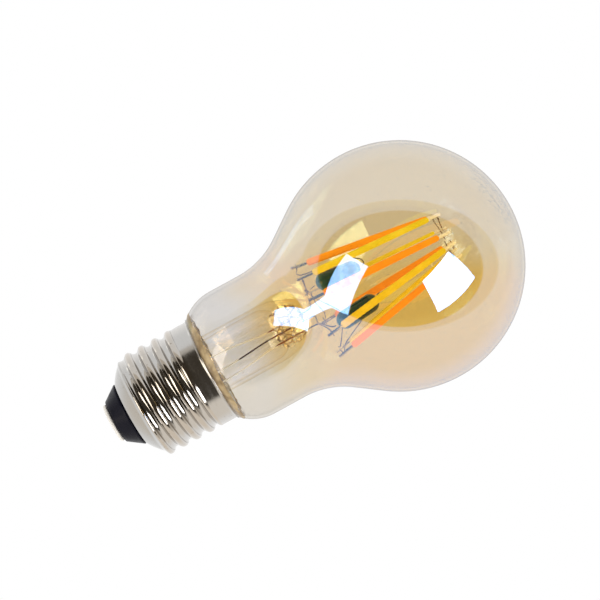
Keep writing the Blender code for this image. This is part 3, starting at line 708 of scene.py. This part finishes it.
def make_press():
    """The folded heart of the press, where the jaws closed the glass round the leads."""
    turns = [pi * i / PRESS_ROWS for i in range(PRESS_ROWS + 1)]
    outline = [(sin(a) ** FOLDS_BLUNTNESS, cos(a)) for a in turns]
    outline[0], outline[-1] = (0.0, 1.0), (0.0, -1.0)
    press = turned_piece("stem_press_folds", material("pressed_glass", pressed_glass), "clear_glass", [],
                         outline, steps=PRESS_STEPS, shape=folds_point)
    press.data.shade_flat()


# ---- screw cap

NICKEL_PLATE = ((0.60, 0.58, 0.555), (0.65, 0.63, 0.60))
NICKEL_CREST = (0.62, 0.565, 0.50)  # warmer on the thread's crests
NICKEL_FOOT = (0.52, 0.51, 0.49)
NICKEL_FOOT_BLEND = (THREAD_FOOT_Z - 0.6 * MM, THREAD_FOOT_Z)
THREAD_START_BLEND = (THREAD_FOOT_Z - 0.8 * MM, THREAD_FOOT_Z + 0.4 * MM)
THREAD_END_BLEND = (COLLAR_Z - 0.4 * MM, COLLAR_Z)
COLLAR_BLEND = (COLLAR_Z - 0.6 * MM, COLLAR_Z + 0.6 * MM)
COLLAR_ROUGHER = 0.09
CREST_BLEND = (0.24, 0.14)  # thread phases: 0 is a crest, 0.5 the root
FLANK_PHASE = 0.25
FLANK_BLEND = (0.045, 0.01)
# Painted shade along the thread's flanks, in patches
FLANK_SHADE = (0.16, 0.12, 0.08)
FLANK_SHADE_PATCH = (0.30, 0.60, 0.45, 1.0)
TARNISH = (0.30, 0.25, 0.19)
TARNISH_BLEND = (0.58, 0.70)
TARNISH_PATCH = (0.52, 0.66)

CEMENT_AMBER = ((0.15, 0.095, 0.040), (0.33, 0.24, 0.12))
CEMENT_OLIVE = (0.19, 0.16, 0.055)
OLIVE_PATCH = (0.55, 0.70)
PATCH_BLEND = (0.35, 0.65)  # noise values between which cement and wire change colour
BLACK_GLASS = ((0.0025, 0.0028, 0.006), (0.006, 0.006, 0.012))
TINNED_PLATE = ((0.56, 0.53, 0.48), (0.66, 0.63, 0.58))


def thread_phase(graph):
    """Where a point lies between thread crests: 0 on a crest, 0.5 in the root."""
    x, y, z = (graph.coordinate(axis) for axis in "XYZ")
    turn = graph.math("DIVIDE", graph.math("ARCTAN2", y, x), 2 * pi)
    rise = graph.math("DIVIDE", graph.math("SUBTRACT", z, THREAD_CREST_Z), THREAD_PITCH)
    phase = graph.math("FRACT", graph.math("ADD", graph.math("SUBTRACT", rise, turn), 0.5))
    return graph.math("ABSOLUTE", graph.math("SUBTRACT", phase, 0.5))


def nickel(graph):
    """Bright nickel plate: warmer on the thread's crests, with painted shade along their flanks."""
    phase = thread_phase(graph)
    height = graph.coordinate("Z")
    threaded = graph.times(graph.span(height, *THREAD_START_BLEND), graph.fall(height, *THREAD_END_BLEND))
    crest = graph.times(graph.span(phase, *CREST_BLEND), threaded)
    plate = graph.mix(graph.noise(120.0), *NICKEL_PLATE)
    colour = graph.mix(graph.times(crest, 0.8), plate, NICKEL_CREST)
    colour = graph.mix(graph.fall(height, *NICKEL_FOOT_BLEND), colour, NICKEL_FOOT)
    flank = graph.math("ABSOLUTE", graph.math("SUBTRACT", phase, FLANK_PHASE))
    patchy = graph.span(graph.noise(260.0), *FLANK_SHADE_PATCH)
    # painted shade: darker along the flanks between crest and root, in patches
    flank_shade = graph.times(graph.span(flank, *FLANK_BLEND), patchy, threaded, 0.5)
    colour = graph.mix(flank_shade, colour, FLANK_SHADE)
    tarnish = graph.span(graph.noise(1500.0, 5.0, 0.7), *TARNISH_BLEND)
    patch = graph.span(graph.noise(170.0, 1.0), *TARNISH_PATCH)
    colour = graph.mix(graph.times(tarnish, patch), colour, TARNISH)
    marks = graph.noise(900.0, 4.0, stretch=(0.08, 0.08, 1.0))
    brushed = graph.span(height, *COLLAR_BLEND, 0.0, COLLAR_ROUGHER)
    rough = graph.math("ADD", graph.vary(marks, 0.06, 0.14), brushed)
    return graph.principled(colour, rough, Metallic=1.0, Normal=graph.bump(marks, 0.10, 0.02 * MM))


def thread_lift(height, turn):
    """Height of the rolled thread above its root, which fades out at both ends."""
    turn = turn - 2 * pi if turn > pi else turn
    crest = THREAD_CREST_Z + THREAD_PITCH * turn / (2 * pi)
    wave = 0.5 + 0.5 * cos(2 * pi * (height - crest) / THREAD_PITCH)
    wave += THREAD_FLATTEN * (eased(wave) - wave)
    top = eased((COLLAR_Z - height) / (COLLAR_Z - THREAD_TOP_Z))
    foot = eased((height - THREAD_FOOT_Z) / THREAD_RUNOUT + 1.0)
    return THREAD_DEPTH * wave * top * foot


def shell_point(radius, height, turn):
    grown = radius + thread_lift(height, turn)
    return grown * cos(turn), grown * sin(turn), height


def make_screw_shell():
    rim = [(radius * MM, RIM_Z - depth * MM) for radius, depth in RIM_ROLL]
    collar = [(COLLAR_RADIUS, RIM_Z - depth) for depth in RIM_FOOT] + [(COLLAR_RADIUS, COLLAR_Z)]
    top = fair(rim + collar, 6)
    blend = fair([(COLLAR_RADIUS, COLLAR_Z), *in_mm(COLLAR_CURVE), (THREAD_ROOT, THREAD_TOP_Z)], 5)
    step = (THREAD_TOP_Z - THREAD_FOOT_Z) / THREAD_ROWS
    thread = [(THREAD_ROOT, THREAD_TOP_Z - i * step) for i in range(1, THREAD_ROWS + 1)]
    foot = fair([(THREAD_ROOT, THREAD_FOOT_Z), *in_mm(SHELL_FOOT_CURVE),
                 (SHELL_FOOT_RADIUS, SHELL_FOOT_Z)], 6)
    outer = top + blend[1:] + thread + foot[1:]
    inner = offset(outer, SHELL_WALL)[::-1]
    turned_piece("screw_shell_rolled", material("nickel", nickel), "nickel_shell", ["screw_shell"],
                 outer + inner, steps=SHELL_STEPS, shape=shell_point, closed=True)


def cement_look(graph):
    """Cured resin cement, amber to olive, with darker lumps."""
    lump = graph.noise(330.0, 4.0, 0.6)
    colour = graph.mix(graph.span(lump, *PATCH_BLEND), *CEMENT_AMBER)
    olive = graph.span(graph.noise(140.0, 1.0), *OLIVE_PATCH)
    colour = graph.mix(graph.times(olive, 0.7), colour, CEMENT_OLIVE)
    return graph.principled(colour, 0.32, Normal=graph.bump(lump, 0.5, 0.3 * MM))


def cement_top(turn):
    """Height of the cement's ragged edge on the glass: highest at the front, lowest at the back."""
    wave = CEMENT_WAVE * uneven(turn, 2.6, 4.0)
    ripple = CEMENT_RIPPLE * uneven(turn, 9.0, 9.0)
    return (CEMENT_TOP - CEMENT_TILT * sin(turn) + wave + ripple) * MM


def glass_radius(height):
    """Radius of the glass shoulder at a height."""
    return NECK_RADIUS - SHOULDER_RADIUS + sqrt(SHOULDER_RADIUS ** 2 - (SHOULDER_Z - height) ** 2)


def cement_point(share, _, turn):
    """A point of the cement's face: share 0 is under the rim, 1 at its ragged edge on the glass."""
    lip, depth = RIM_LIP
    foot = RIM_Z - depth * MM
    height = foot + (cement_top(turn) - foot) * share
    thickness, variation = CEMENT_FILM
    lump = uneven(turn, 14.0, height / CEMENT_LUMP)
    film = (thickness + variation * lump) * MM * (1.0 - share ** 4)
    radius = glass_radius(height) + CEMENT_GAP + film
    radius = min(radius, lip * MM + CEMENT_SPREAD * max(height - foot, 0.0))
    return radius * cos(turn), radius * sin(turn), height


def make_cement():
    """Cement that wells up from the rim and ends in a thin ragged film on the glass."""
    outline = [(1.0 - i / CEMENT_ROWS, 0.0) for i in range(CEMENT_ROWS)]
    outline.append((10 * ON_AXIS, 0.0))
    turned_piece("basing_cement_bead", material("cement", cement_look), "cement", ["basing_cement"],
                 outline, steps=CEMENT_STEPS, shape=cement_point)


def black_glass(graph):
    """Black vitrified glass with a faint orange-peel surface."""
    peel = graph.noise(700.0, 2.0)
    return graph.principled(graph.mix(peel, *BLACK_GLASS), graph.vary(peel, 0.25, 0.40),
                            Specular_IOR_Level=0.10, Normal=graph.bump(peel, 0.08, 0.05 * MM))


def make_insulator():
    foot_z = INSULATOR_LOW.z
    hidden = fair([(INSULATOR_TOP_RADIUS, INSULATOR_HIGH.z), *in_mm(INSULATOR_HIDDEN_CURVE)], 5)
    cone = fair([CONE_TOP, (CONE_FOOT[0], foot_z + CONE_FOOT[1])], 8)
    foot = arc((CONE_FOOT[0] - CONE_SOFT, foot_z + CONE_SOFT), CONE_SOFT, CONE_SOFT_FROM, -pi / 2, 6)
    bore = [(BORE_RADIUS, foot_z), (BORE_RADIUS, INSULATOR_HIGH.z)]
    turned_piece("base_insulator_glazed", material("black_glass", black_glass), "black_insulator",
                 ["base_insulator"], hidden + cone + foot + bore, steps=INSULATOR_STEPS, closed=True)


def contact_look(graph):
    """Bright tinned plate, faintly scuffed where holders have touched it."""
    scuff = graph.noise(500.0, 4.0, stretch=(1.0, 0.25, 1.0))
    return graph.principled(graph.mix(scuff, *TINNED_PLATE), graph.vary(scuff, 0.35, 0.50), Metallic=0.15)


def make_contact():
    edge = CONTACT_HIGH.x
    rounding = arc((edge - CONTACT_SOFT, CONTACT_SOFT), CONTACT_SOFT, 0.0, -pi / 2, 10)
    eyelet = [(0.0, CONTACT_HIGH.z), (EYELET_RADIUS, CONTACT_HIGH.z), (EYELET_RADIUS, CONTACT_PLATE_Z)]
    turned_piece("centre_contact_pressed", material("contact", contact_look), "contact_metal",
                 ["centre_contact"],
                 [*eyelet, (edge - CONTACT_DRAFT, CONTACT_PLATE_Z), *rounding, (0.0, 0.0)])


# ---- filament cage

TAB_WIDTH = 0.75 * MM
TAB_THICKNESS = 0.3 * MM
TAB_SOFT = 0.08 * MM  # rounding of its corners
TAB_TAPER = 0.82  # size of its end face, as a share of its section
TAB_OVERLAP = 0.5 * MM  # how far the strip runs on inside the phosphor
TOP_REACH = 3.0 * MM  # bare metal beyond the phosphor
FOOT_REACH = 4.0 * MM
PHOSPHOR_RADIUS = 0.92 * MM
PHOSPHOR_FLATNESS = 0.55  # thickness of the rod as a share of its width
PHOSPHOR_ROUNDING = 0.8 * MM
ROUNDING_TURNS = (0.35, 0.7, 1.05, 1.4)  # angles of the rows over a rounded end, in radians
TOP_NARROWING = 0.18  # each rod is this much narrower at its top
CHIP_SPACING = 1.15 * MM  # the LED chips show as faint swellings along the phosphor
CHIP_SWELL = 0.03
STRIP_SHARP = radians(50)
CAPSULE_UNEVEN = 0.03
CAPSULE_LUMP = 4 * MM

BEAD = Vector((-5.1, -1.0, 56.3)) * MM
BEAD_RADIUS = 0.42 * MM
BEAD_REACH = 0.85 * MM
BEAD_LEAN = 0.3

WARM_PHOSPHOR = ((0.80, 0.30, 0.0), (0.86, 0.34, 0.0))
COOL_PHOSPHOR = ((0.67, 0.555, 0.004), (0.76, 0.64, 0.03))
PHOSPHOR_BLEND = (0.35, 0.7)
# Painted light: the phosphor's own emission, which lightens it
PHOSPHOR_PAINTED_GLOW = 0.30
STRIP = ((0.62, 0.58, 0.52), (0.85, 0.82, 0.76))
# Painted highlight: the strips' upper ends, paler and matt, and the heights where it sets in
STRIP_TOP_SHEEN = (0.93, 0.93, 0.90)
TOP_SHEEN_BLEND = (75.0 * MM, 88.0 * MM)
PALE_LEAD = (0.95, 0.93, 0.87)
DARK_LEAD = (0.055, 0.022, 0.012)
DULL_WIRE = ((0.36, 0.28, 0.18), (0.62, 0.56, 0.47))
BURNT_WIRE = ((0.24, 0.14, 0.07), (0.74, 0.66, 0.52))
BURNT_BLEND = (0.40, 0.70)
COPPER_RED = (0.42, 0.10, 0.03)
PRESS_END_BLEND = (50.5 * MM, 52.5 * MM)  # heights at which a lead's look changes
TUBE_END_BLEND = (42.8 * MM, 44.2 * MM)
PALE_END_BLEND = (33.6 * MM, 34.6 * MM)
ENAMEL = ((0.004, 0.028, 0.020), (0.012, 0.060, 0.045))
# Painted highlight: the lighter teal at the resistors' lower ends, and the heights where it sets in
ENAMEL_LOW_SHEEN = (0.06, 0.20, 0.20)
ENAMEL_LOW_SHEEN_BLEND = (59.0 * MM, 62.0 * MM)


def phosphor(deep, pale):
    """Phosphor in silicone, faintly cloudy, with a little painted light: an emission of its own colour
    that lightens it.
    """
    def build(graph):
        colour = graph.mix(graph.span(graph.noise(260.0), *PHOSPHOR_BLEND), deep, pale)
        normal = graph.bump(graph.noise(1500.0, 2.0), 0.12, 0.05 * MM)
        return graph.principled(colour, 0.42, Emission_Color=colour, Emission_Strength=PHOSPHOR_PAINTED_GLOW,
                                Specular_IOR_Level=0.10, Normal=normal)
    return build


def bright_metal(graph):
    """Tinned strip, drawn along its length; its upper ends are painted paler and less metallic, a painted
    highlight.
    """
    streak = graph.noise(800.0, stretch=(1.0, 1.0, 0.2))
    # painted highlight: 1 at the strips' upper ends
    top_sheen = graph.span(graph.coordinate("Z"), *TOP_SHEEN_BLEND)
    colour = graph.mix(top_sheen, graph.mix(streak, *STRIP), STRIP_TOP_SHEEN)
    return graph.principled(colour, graph.vary(streak, 0.15, 0.30),
                            Metallic=graph.math("SUBTRACT", 1.0, top_sheen))


def lead_look(*tube_colour):
    """A lead: one colour in the stem's tube, copper-clad red through the press, then dull wire."""
    def build(graph):
        height = graph.coordinate("Z")
        burn = graph.noise(600.0)
        in_tube = graph.fall(height, *TUBE_END_BLEND)
        colour = graph.mix(graph.span(burn, *PATCH_BLEND), *DULL_WIRE)
        colour = graph.mix(graph.fall(height, *PRESS_END_BLEND), colour, COPPER_RED)
        colour = graph.mix(in_tube, colour, tube_colour)
        colour = graph.mix(graph.fall(height, *PALE_END_BLEND), colour, PALE_LEAD)
        return graph.principled(colour, 0.30, Metallic=graph.math("SUBTRACT", 1.0, in_tube),
                                Normal=graph.bump(burn, 0.2, 0.02 * MM))
    return build


def dark_wire(graph):
    """Nickel-iron wire, oxidised brown in places by the sealing flame."""
    burn = graph.noise(600.0)
    colour = graph.mix(graph.span(burn, *BURNT_BLEND), *BURNT_WIRE)
    return graph.principled(colour, graph.vary(burn, 0.20, 0.38), Metallic=1.0,
                            Normal=graph.bump(burn, 0.2, 0.02 * MM))


def strip_end(tip, inward, across, outward, reach):
    """Vertices and faces of one bare end of a filament's metal strip, with softened corners."""
    verts, faces = [], []
    width, thick, soft = TAB_WIDTH / 2, TAB_THICKNESS / 2, TAB_SOFT
    quarter = [(width, thick - soft), (width - soft, thick)]
    half = quarter + [(-a, b) for a, b in quarter[::-1]]
    ring = half + [(-a, -b) for a, b in half]
    for depth, grow in ((0.0, TAB_TAPER), (soft, 1.0), (reach + TAB_OVERLAP, 1.0)):
        for a, b in ring:
            verts.append(tip + inward * depth + (across * a + outward * b) * grow)
    count = len(ring)
    for row in range(2):
        for i in range(count):
            j = (i + 1) % count
            a, b = row * count, (row + 1) * count
            faces.append([a + i, b + i, b + j, a + j])
    faces.append(list(range(count)))
    return verts, faces


def make_filament(node, slot, coat, metal):
    """Phosphor rod on a metal strip whose bare ends are the welding tabs."""
    foot, top, across = axes_of(node)
    along = (top - foot).normalized()
    outward = along.cross(across)
    upper = top - along * TOP_REACH
    lower = foot + along * FOOT_REACH
    half = (upper - lower).length / 2

    def rod(radius_share, height):
        swell = 1.0 + CHIP_SWELL * cos(2 * pi * height / CHIP_SPACING)
        narrow = 1.0 - TOP_NARROWING * max(height / half, 0.0)
        return PHOSPHOR_RADIUS * radius_share * swell * narrow, height

    def flattened(r, z, turn):
        return r * cos(turn), r * sin(turn) * PHOSPHOR_FLATNESS, z

    span = half - PHOSPHOR_ROUNDING
    outline = [(0.0, half)]
    outline += [rod(sin(a), half - PHOSPHOR_ROUNDING * (1 - cos(a))) for a in ROUNDING_TURNS]
    outline += [rod(1.0, span - 2 * span * i / ROD_ROWS) for i in range(ROD_ROWS + 1)]
    outline += [rod(sin(a), PHOSPHOR_ROUNDING * (1 - cos(a)) - half) for a in ROUNDING_TURNS[::-1]]
    outline += [(0.0, -half)]
    verts, faces = turned(outline, ROD_STEPS, flattened)
    place = Matrix((across, outward, along)).transposed().to_4x4()
    place.translation = (upper + lower) / 2
    verts = [place @ Vector(v) for v in verts]
    rod_faces = len(faces)
    for tip, inward, reach in ((top, -along, TOP_REACH), (foot, along, FOOT_REACH)):
        more, sides = strip_end(tip, inward, across, outward, reach)
        if inward == along:
            sides = [side[::-1] for side in sides]
        faces += [[i + len(verts) for i in side] for side in sides]
        verts += more
    filament = mesh_object(f"{node}_rod", verts, faces, coat, metal)
    for polygon in filament.data.polygons:
        polygon.material_index = int(polygon.index >= rod_faces)
    filament.data.set_sharp_from_angle(angle=STRIP_SHARP)
    finish_piece(filament, slot, node)


def make_filaments():
    warm = material("warm_phosphor", phosphor(*WARM_PHOSPHOR))
    cool = material("cool_phosphor", phosphor(*COOL_PHOSPHOR))
    metal = material("tab_metal", bright_metal)
    for number in (1, 2, 3, 4):
        make_filament(f"warm_filament_{number}", "warm_phosphor", warm, metal)
        make_filament(f"cool_filament_{number}", "cool_phosphor", cool, metal)


def green_enamel(graph):
    """Glossy dark green enamel, with a painted teal highlight at the lower end of each body."""
    # painted highlight: lighter teal towards each body's lower end
    low = graph.fall(graph.coordinate("Z"), *ENAMEL_LOW_SHEEN_BLEND)
    colour = graph.mix(graph.times(low, 0.65), graph.mix(graph.noise(200.0), *ENAMEL), ENAMEL_LOW_SHEEN)
    return graph.principled(colour, 0.10, Coat_Weight=0.5,
                            Normal=graph.bump(graph.noise(420.0, 2.0), 0.12, 0.1 * MM))


def make_resistors():
    """Enamelled ballast resistors: plump capsules with a slightly uneven dipped coat."""
    enamel = material("green_enamel", green_enamel)
    for number in (1, 2):
        node = f"ballast_resistor_{number}"
        foot, top, _ = axes_of(node)
        low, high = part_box(node)
        radius = (high.y - low.y) / 2
        along = (top - foot).normalized()
        half = (top - foot).length / 2
        turn = Vector((0, 0, 1)).rotation_difference(along)
        middle = (foot + top) / 2

        def shape(r, z, angle, seed=number * SEED_STEP):
            r *= 1.0 + CAPSULE_UNEVEN * uneven(angle, 1.0, z / CAPSULE_LUMP + seed)
            return middle + turn @ Vector((r * cos(angle), r * sin(angle), z))

        turns = [i * pi / (2 * CAPSULE_ROWS) for i in range(CAPSULE_ROWS + 1)]
        outline = [(radius * sin(a), half - radius * (1 - cos(a))) for a in turns]
        outline += [(r, -z) for r, z in reversed(outline)]
        turned_piece(f"{node}_enamelled", enamel, "green_enamel", [node], outline,
                     steps=CAPSULE_STEPS, shape=shape)


def make_bead(wire):
    """Dark weld bead where the common lead branches."""
    def shape(r, z, angle):
        return BEAD + Vector((z, r * cos(angle), r * sin(angle) + BEAD_LEAN * z))

    turns = [i * pi / BEAD_ROWS for i in range(BEAD_ROWS + 1)]
    outline = [(BEAD_RADIUS * sin(a), BEAD_REACH * cos(a)) for a in turns]
    outline[0], outline[-1] = (0.0, BEAD_REACH), (0.0, -BEAD_REACH)
    turned_piece("common_lead_bead", wire, "lead_wire", [], outline, steps=BEAD_STEPS, shape=shape)


# ---- CAD nodes that stay

def plain_part(deep, pale, rough, metallic=0.0):
    """A moulded, coated or metal part with a slight mottle and grain."""
    def build(graph):
        grain = graph.noise(400.0, 4.0)
        return graph.principled(graph.mix(grain, deep, pale), graph.vary(grain, rough * 0.8, rough * 1.2),
                                Metallic=metallic, Normal=graph.bump(grain, 0.1, 0.03 * MM))
    return build


def laminate(mask, trace):
    """Solder mask over copper tracks, which show as slightly lighter lines."""
    def build(graph):
        inputs = {"Vector": graph.place(), "Scale": 420.0, "Mortar Size": 0.03,
                  "Color1": BLACK, "Color2": BLACK, "Mortar": WHITE}
        bands = graph.add("TexBrick", inputs)
        weave = graph.bump(graph.noise(900.0), 0.1, 0.02 * MM)
        return graph.principled(graph.mix(bands, mask, trace), 0.35, Normal=weave)
    return build


WELD_REACH = 0.005 * MM  # joins the facets of a wire without closing its gaps

# Material, CAD nodes, slot, rounds of smoothing, and the look that plain_part() takes
PLAIN_PARTS = (
    ("moulded_epoxy",
     ["bridge_rectifier", "driver_chip", "channel_mosfet_1", "channel_mosfet_2", "module_header"],
     "black_package", 0, ((0.010, 0.010, 0.011), (0.022, 0.022, 0.023), 0.42)),
    ("film_sleeve", ["bulk_capacitor"], "capacitor_sleeve", 0,
     ((0.03, 0.035, 0.06), (0.05, 0.06, 0.09), 0.3)),
    ("ferrite", ["buck_inductor"], "ferrite", 0, ((0.03, 0.03, 0.03), (0.08, 0.08, 0.08), 0.65)),
    ("resistor_lacquer", ["fusible_resistor"], "resistor_coat", 0,
     ((0.07, 0.24, 0.30), (0.11, 0.33, 0.40), 0.4)),
    ("shield", ["wireless_shield"], "shield_metal", 0, ((0.55, 0.55, 0.54), (0.72, 0.72, 0.70), 0.3, 1.0)),
    ("wire_coat", ["antenna_wire", "live_wire"], "insulated_wire", 2,
     ((0.45, 0.09, 0.05), (0.60, 0.14, 0.08), 0.5)),
    ("neutral_coat", ["neutral_wire"], "insulated_wire", 2, ((0.04, 0.08, 0.30), (0.07, 0.13, 0.42), 0.5)),
    ("polyester", ["insulating_sleeve"], "sleeve_film", 0, ((0.68, 0.62, 0.40), (0.78, 0.72, 0.50), 0.4)),
)
# CAD node, its material and slot, and the colours of the solder mask and of the tracks under it
BOARDS = (
    ("driver_board", "driver_laminate", ((0.02, 0.14, 0.06), (0.05, 0.24, 0.11))),
    ("wireless_board", "radio_laminate", ((0.01, 0.04, 0.14), (0.03, 0.09, 0.24))),
)


def keep(nodes, mat, slot, rounds=0):
    """Give CAD nodes that stay a procedural material, welded and smoothed if asked."""
    for name in nodes:
        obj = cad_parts[name]
        obj.data.materials.clear()
        obj.data.materials.append(mat)
        if rounds:
            weld = obj.modifiers.new("Weld", "WELD")
            weld.merge_threshold = WELD_REACH
            round_off = obj.modifiers.new("Round", "SUBSURF")
            round_off.levels = rounds
            round_off.render_levels = rounds


def dress_cad_nodes():
    wire = material("dark_wire", dark_wire)
    links = [f"{channel}_top_link_{n}" for channel in ("cool", "warm") for n in (1, 2)]
    loops = [f"resistor_loop_{n}" for n in (1, 2)]
    keep(links + loops + ["cool_foot_link", "warm_foot_link", "common_branch_lead"], wire, "lead_wire", 2)
    keep(["common_lead", "warm_lead"], material("tinned_lead", lead_look(*PALE_LEAD)), "lead_wire", 2)
    keep(["cool_lead"], material("oxidised_lead", lead_look(*DARK_LEAD)), "lead_wire", 2)
    keep(["exhaust_tube"], material("tube_glass", plain_glass), "clear_glass", 1)
    for name, nodes, slot, rounds, look in PLAIN_PARTS:
        keep(nodes, material(name, plain_part(*look)), slot, rounds)
    for node, slot, look in BOARDS:
        keep([node], material(slot, laminate(*look)), slot)
    return wire


# ---- the scene

def set_up_light_paths():
    """Enough bounces for light to cross all the walls of glass that lie behind each other."""
    scene = bpy.context.scene
    scene.view_settings.view_transform = "Standard"
    scene.cycles.transparent_max_bounces = 40
    scene.cycles.max_bounces = 16
    scene.cycles.glossy_bounces = 8


make_world()
make_floor()
make_camera()
make_envelope()
make_stem()
make_press()
make_screw_shell()
make_cement()
make_insulator()
make_contact()
make_filaments()
make_resistors()
make_bead(dress_cad_nodes())

set_up_light_paths()
